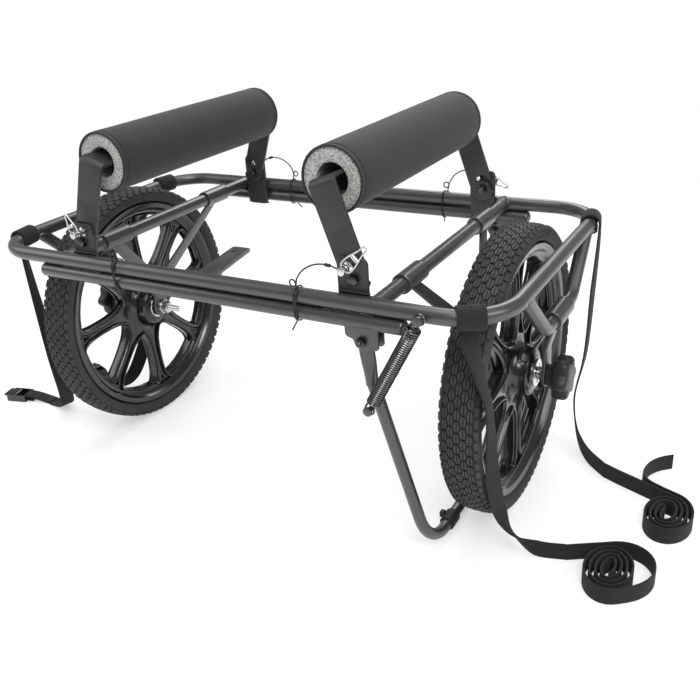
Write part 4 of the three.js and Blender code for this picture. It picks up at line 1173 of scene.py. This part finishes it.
def bunkMatrix():
    x, z = bunkPlan["pivot"]
    return Matrix.Translation((x, 0, z)) @ Matrix.Rotation(-math.radians(bunkPlan["lean"]), 4, "Y")


def pinPlace():
    (x, z), reach, lean = bunkPlan["pivot"], bunkPlan["pinReach"], math.radians(bunkPlan["lean"])
    return x - reach * math.sin(lean), z + reach * math.cos(lean)


def bracketForm(side):
    plan = bunkPlan
    left, right, bottom, top = plan["bracket"]
    r, thickness = plan["bracketCorner"], 4
    outline = arc(left + r, bottom + r, r, 180, 270, 6) + arc(right - r, bottom + r, r, 270, 360, 6)
    outline += arc(right - r, top - r, r, 0, 90, 6) + arc(left + r, top - r, r, 90, 180, 6)
    holes = [circle(*plan["pivot"], plan["pivotHole"]), circle(*pinPlace(), plan["pinHole"])]
    inside = framePlan["inside"]
    form = plate([outline] + holes, thickness, 0.5, "y", -inside if side < 0 else inside - thickness)
    for z in plan["bracketWelds"]:
        form.join(*(weldLine(left + 6 + 10.5 * k, side * 213, z, 5.5) for k in range(4)))
    return form


def bunkBar():
    plan = bunkPlan
    outer, thickness, height, low = plan["outer"], plan["thickness"], plan["height"], plan["legTop"]
    middle, half = outer - thickness / 2, plan["width"] / 2 - 0.05
    corners = [(0, -middle, low), (0, -middle, height), (0, middle, height), (0, middle, low)]
    form = sweep(bent(corners, plan["bend"], 8), roundedSection(half, thickness / 2, 0.7), (1, 0, 0))
    reach, hole = plan["pinReach"], plan["pinHole"]
    leg = arc(0, 0, half, 180, 330, 20) + arc(0, 0, reach - hole, -14, 90, 14)
    leg += arc(0, reach, hole, 270, 90, 8) + arc(0, 0, reach + hole, 90, 29.5, 8)
    leg += [(half, 10.5), (half, low + 2), (-half, low + 2)]
    for y in (-outer, outer - thickness):
        form.join(plate([leg, circle(0, 0, plan["pivotHole"])], thickness - 0.1, 0.6, "y", y + 0.05))
    return form.moved(bunkMatrix())


def padFoam():
    profile = bothSides(bunkPlan["foam"])
    return turned(profile, "y", 64, (0, 0, bunkPlan["padHeight"]), True).moved(bunkMatrix())


# The cloth is drawn together near its ends and swells a little between them
def padSleeve():
    height = bunkPlan["padHeight"]
    rings = []
    for r, d in bothSides(bunkPlan["sleeve"]):
        ring = []
        gather = 0.35 * math.exp(-((abs(d) - 172) / 10) ** 2)
        for turn in around(96):
            ripple = gather * math.sin(11 * turn + math.copysign(1, d)) * math.cos(5 * turn)
            swell = 0.12 * math.sin(3 * turn + d / 40)
            size = r + (ripple + swell if r > 41 else 0)
            ring.append((size * math.sin(turn), d, height + size * math.cos(turn)))
        rings.append(ring)
    form = Form(*skin(rings, capped=False))
    radius, end, thread = bunkPlan["seam"]
    for sign in (-1, 1):
        seam = [(radius * math.sin(t), sign * end, height + radius * math.cos(t)) for t in around(60)]
        form.join(sweep(seam, ringOf(thread, 6), closed=True))
    return form.moved(bunkMatrix())


def hexBolt(place, fromY, toY, head, shank=4, thick=5.5):
    x, z = place
    way = math.copysign(1, toY - fromY)
    turn = Matrix.Translation((x, 0, z)) @ Matrix.Rotation(math.radians(90), 4, "Z")
    form = Form()
    for low in (min(fromY, fromY - way * thick), min(toY, toY + way * thick)):
        form.join(hexForm(head, low, low + thick).moved(turn))
    return form.join(rod((x, fromY - way, z), (x, toY + way * 8.5, z), shank))


for end, side in (("front", -1), ("rear", 1)):
    onBothHands("bunk_bracket_" + end, bracketForm(side), "frame", "bracket_paint")
    pivotBolt = hexBolt(bunkPlan["pivot"], side * 213, side * 203.1, bunkPlan["boltHead"])
    onBothHands("bunk_pivot_bolt_" + end, pivotBolt, "frame", "black_steel")
onBothHands("bunk_bar", bunkBar(), "bunk", "bracket_paint")
onBothHands("bunk_foam", padFoam(), "bunk", "pad_foam")
onBothHands("bunk_sleeve", padSleeve(), "bunk", "sleeve_fabric")
report("bunks")


# Lock pins with wire bails: each bail has its own tilt, in radians, and its own reach
pinPlan = {
    "bails": {
        "front_right": (-0.81, 46), "front_left": (0.35, 30),
        "rear_right": (2.0, 42), "rear_left": (-0.9, 30),
    },
    "profile": [
        (0, -13), (2.2, -13), (3.6, -11.8), (3.75, -11), (3.75, 0.3), (6.5, 0.3), (6.5, 2.6), (5.4, 3.2),
        (3.2, 4.6), (3.2, 7), (5, 8), (5.5, 8.6), (5.5, 12), (5.1, 12.5), (5.1, 13.3), (5.5, 13.8),
        (5.5, 18.8), (5, 20.4), (3, 21), (0, 21),
    ],
    "wire": 1.15, "roller": 2.9,
}


def bailPath(reach):
    neck, waist = reach * 0.3, reach * 0.72
    half = [(4, 14, 0), (7, 14.4, 5), (7.6, 15, neck), (3.6, 15.6, waist), (2.4, 16, reach - 3)]
    knots = half + [(0, 16, reach)] + [(-x, y, z) for x, y, z in half[::-1]]
    return [centripetal([np.array(k, float) for k in knots], i / 60) for i in range(61)]


def pinForm(tilt, reach):
    form = turned(pinPlan["profile"], "y", 28).join(rod((0, -9, 2.9), (0, -9, 4.3), 1.3, 10, 0.3))
    height = reach * 0.72 - 9
    grip = sweep(bailPath(reach), ringOf(pinPlan["wire"], 12))
    grip.join(rod((-5.4, 15.6, height), (5.4, 15.6, height), pinPlan["roller"], 16, 0.7))
    return form.join(grip.moved(Matrix.Rotation(tilt, 4, "Y")))


def addPins():
    pinX, pinZ = pinPlace()
    for corner, (tilt, reach) in pinPlan["bails"].items():
        side = -1 if corner.startswith("front") else 1
        sign = 1 if corner.endswith("right") else -1
        place = Matrix.Translation((sign * pinX, side * framePlan["inside"], pinZ))
        if side < 0:
            place = place @ Matrix.Rotation(math.pi, 4, "Z")
        name = "lock_pin_" + corner
        show(name, pinForm(tilt, reach).moved(place), name, "zinc_steel")


addPins()
report("lock pins")


# Kickstand, its clips, its bolts and its spring. A level of its flat tops is a height and two half widths
standPlan = {
    "radius": 8, "knee": (239, 220, 272), "foot": (295, 187.5, 11), "bend": 58, "stud": (245, 243),
    "levels": [
        (336, 3.0, 2.3), (335.2, 5.2, 2.45), (332.5, 8.0, 2.5), (327, 10, 2.5), (317, 10.6, 2.55),
        (307, 10.8, 2.7), (300, 10.4, 3.4), (293, 9.8, 4.6), (284, 8.9, 6.3), (272, 8.1, 7.8),
        (266, 7.9, 7.5),
    ],
    "clipY": 118, "boltHead": 6.5, "bolts": (214.1, 231.9),
}
springPlan = {
    "top": (314, -241.5, 372), "bottom": (245, -241.5, 243), "curls": 38, "curlSteps": 20,
    "radius": 7.7, "wire": 1.3, "shank": 13.2, "hook": 6.2,
}


def squircle(count, power):
    made = []
    for turn in around(count):
        c, s = math.cos(turn), math.sin(turn)
        made.append((math.copysign(abs(c) ** (2 / power), c), math.copysign(abs(s) ** (2 / power), s)))
    return made


def kickstandForm():
    plan = standPlan
    (kneeX, kneeY, kneeZ), (footX, footY, footZ) = plan["knee"], plan["foot"]
    pivotX, pivotZ = framePlan["standPivot"]
    corners = [(kneeX, -kneeY, kneeZ), (footX, -footY, footZ), (footX, footY, footZ), (kneeX, kneeY, kneeZ)]
    form = sweep(bent(corners, plan["bend"], 16), ringOf(plan["radius"], 32))
    for side in (-1, 1):
        rings = []
        for z, halfWidth, halfDepth in plan["levels"]:
            x = np.interp(z, [kneeZ, pivotZ], [kneeX, pivotX])
            y = side * np.interp(z, [kneeZ, pivotZ], [kneeY, framePlan["halfDepth"]])
            outline = squircle(32, 2.6 if halfDepth < 5 else 2)
            rings.append([(x + halfWidth * a, y + halfDepth * b, z) for a, b in outline])
        form.add(*skin(rings))
    return form.join(studForm(*plan["stud"], -217))


def clipForm(side):
    x, _, z = standPlan["foot"]
    y = side * standPlan["clipY"]
    form = collar(standPlan["radius"] + 0.05, 10.8, y - 12, y + 12, (0.8, 1), "y", centre=(x, 0, z))
    return form.join(box((x - 14.5, y - 4.5, z + 1.5), (x - 7, y + 4.5, z + 11), 1.2))


def springForm():
    plan = springPlan
    top, bottom = np.array(plan["top"], float), np.array(plan["bottom"], float)
    length = np.linalg.norm(bottom - top)
    axis, out = (bottom - top) / length, np.array((0, 1.0, 0))
    across = np.cross(out, axis)

    def hook(centre, way):
        made = [centre + way * (plan["shank"] - 3) + across * plan["hook"]]
        return made + [centre + across * a - way * b for a, b in arc(0, 0, plan["hook"], 0, 270, 16)]

    line = hook(top, axis)[::-1]
    steps = plan["curls"] * plan["curlSteps"]
    for i in range(steps + 1):
        turn = 2 * math.pi * i / plan["curlSteps"]
        point = top + axis * (plan["shank"] + (length - 2 * plan["shank"]) * i / steps)
        line.append(point + across * plan["radius"] * math.cos(turn) + out * plan["radius"] * math.sin(turn))
    return sweep(line + hook(bottom, -axis), ringOf(plan["wire"], 10))


def addKickstand():
    show("kickstand", kickstandForm(), "kickstand", "frame_paint")
    for end, side in (("front", -1), ("rear", 1)):
        show("kickstand_foot_" + end, clipForm(side), "kickstand", "foot_rubber")
        inner, outer = (side * y for y in standPlan["bolts"])
        bolt = hexBolt(framePlan["standPivot"], inner, outer, standPlan["boltHead"])
        show("kickstand_bolt_" + end, bolt, "frame", "black_steel")
    start, end = (tuple(c * mm for c in springPlan[key]) for key in ("top", "bottom"))
    bend = {"from": "frame", "to": "kickstand", "start": start, "end": end}
    show("kickstand_spring", springForm(), bend, "black_steel", "spring_wire")


addKickstand()
report("kickstand")


# Floor, world and lamps: a lamp is its name, place, size and power
lightPlan = {
    "floor": (0.9, 0.9, 0.9), "floorHalf": 30, "whitening": (0.7, 1.5), "nearWhite": 0.5,
    "world": 0.5, "mirrored": 0.42, "aim": (0, 0, 0.25),
    "lamps": [
        ("key", (1.6, -2.2, 3.2), 1.7, 92), ("fill", (-2.8, -1.2, 2.2), 2.0, 30),
        ("back", (-0.6, 2.8, 2.6), 1.8, 52), ("top", (0, 0, 3.4), 2.0, 44),
        ("side", (2.9, -0.5, 2.0), 1.5, 34),
    ],
}


def addFloor():
    mesh = bpy.data.meshes.new("floor")
    half = lightPlan["floorHalf"]
    corners = [(-half, -half, 0), (half, -half, 0), (half, half, 0), (-half, half, 0)]
    mesh.from_pydata(corners, [], [[0, 1, 2, 3]])
    shader = Shader("floor", lightPlan["floor"], 0.9, **{"Specular IOR Level": 0.1})
    spot = shader.node("ShaderNodeTexCoord", output="Object", isVector=True)
    away = shader.node("ShaderNodeVectorMath", {"operation": "LENGTH"}, {0: spot}, output="Value")
    seen = shader.node("ShaderNodeLightPath", output="Is Camera Ray")
    white = shader.node("ShaderNodeEmission", {}, {"Color": (1, 1, 1, 1), "Strength": 1})
    lit = Wire(shader, shader.surface.outputs[0])
    share = shader.range(away, *lightPlan["whitening"], lightPlan["nearWhite"]) * seen
    both = shader.node("ShaderNodeMixShader", {}, {0: share, 1: lit, 2: white})
    shader.feed(shader.tree.nodes["Material Output"].inputs["Surface"], both)
    mesh.materials.append(shader.material)
    addObject("floor", mesh)


def addWorld():
    world = bpy.data.worlds.new("world")
    bpy.context.scene.world = world
    world.use_nodes = True
    graph = Graph(world.node_tree)
    background = graph.tree.nodes["Background"]
    glossy = graph.node("ShaderNodeLightPath", output="Is Glossy Ray")
    seen = graph.node("ShaderNodeLightPath", output="Is Camera Ray")
    plain, mirrored = lightPlan["world"], lightPlan["mirrored"]
    graph.feed(background.inputs["Strength"], seen + (1 - seen) * (plain + glossy * (mirrored - plain)))
    graph.feed(background.inputs["Color"], (1, 1, 1, 1))


def addLamps():
    for name, place, size, power in lightPlan["lamps"]:
        data = bpy.data.lights.new(name, "AREA")
        data.size = size
        data.energy = power
        lamp = addObject(name, data)
        lamp.location = place
        lamp.rotation_euler = (Vector(lightPlan["aim"]) - Vector(place)).to_track_quat("-Z", "Y").to_euler()


addFloor()
addWorld()
addLamps()
bpy.context.scene.view_settings.view_transform = "Standard"
report("floor and light")
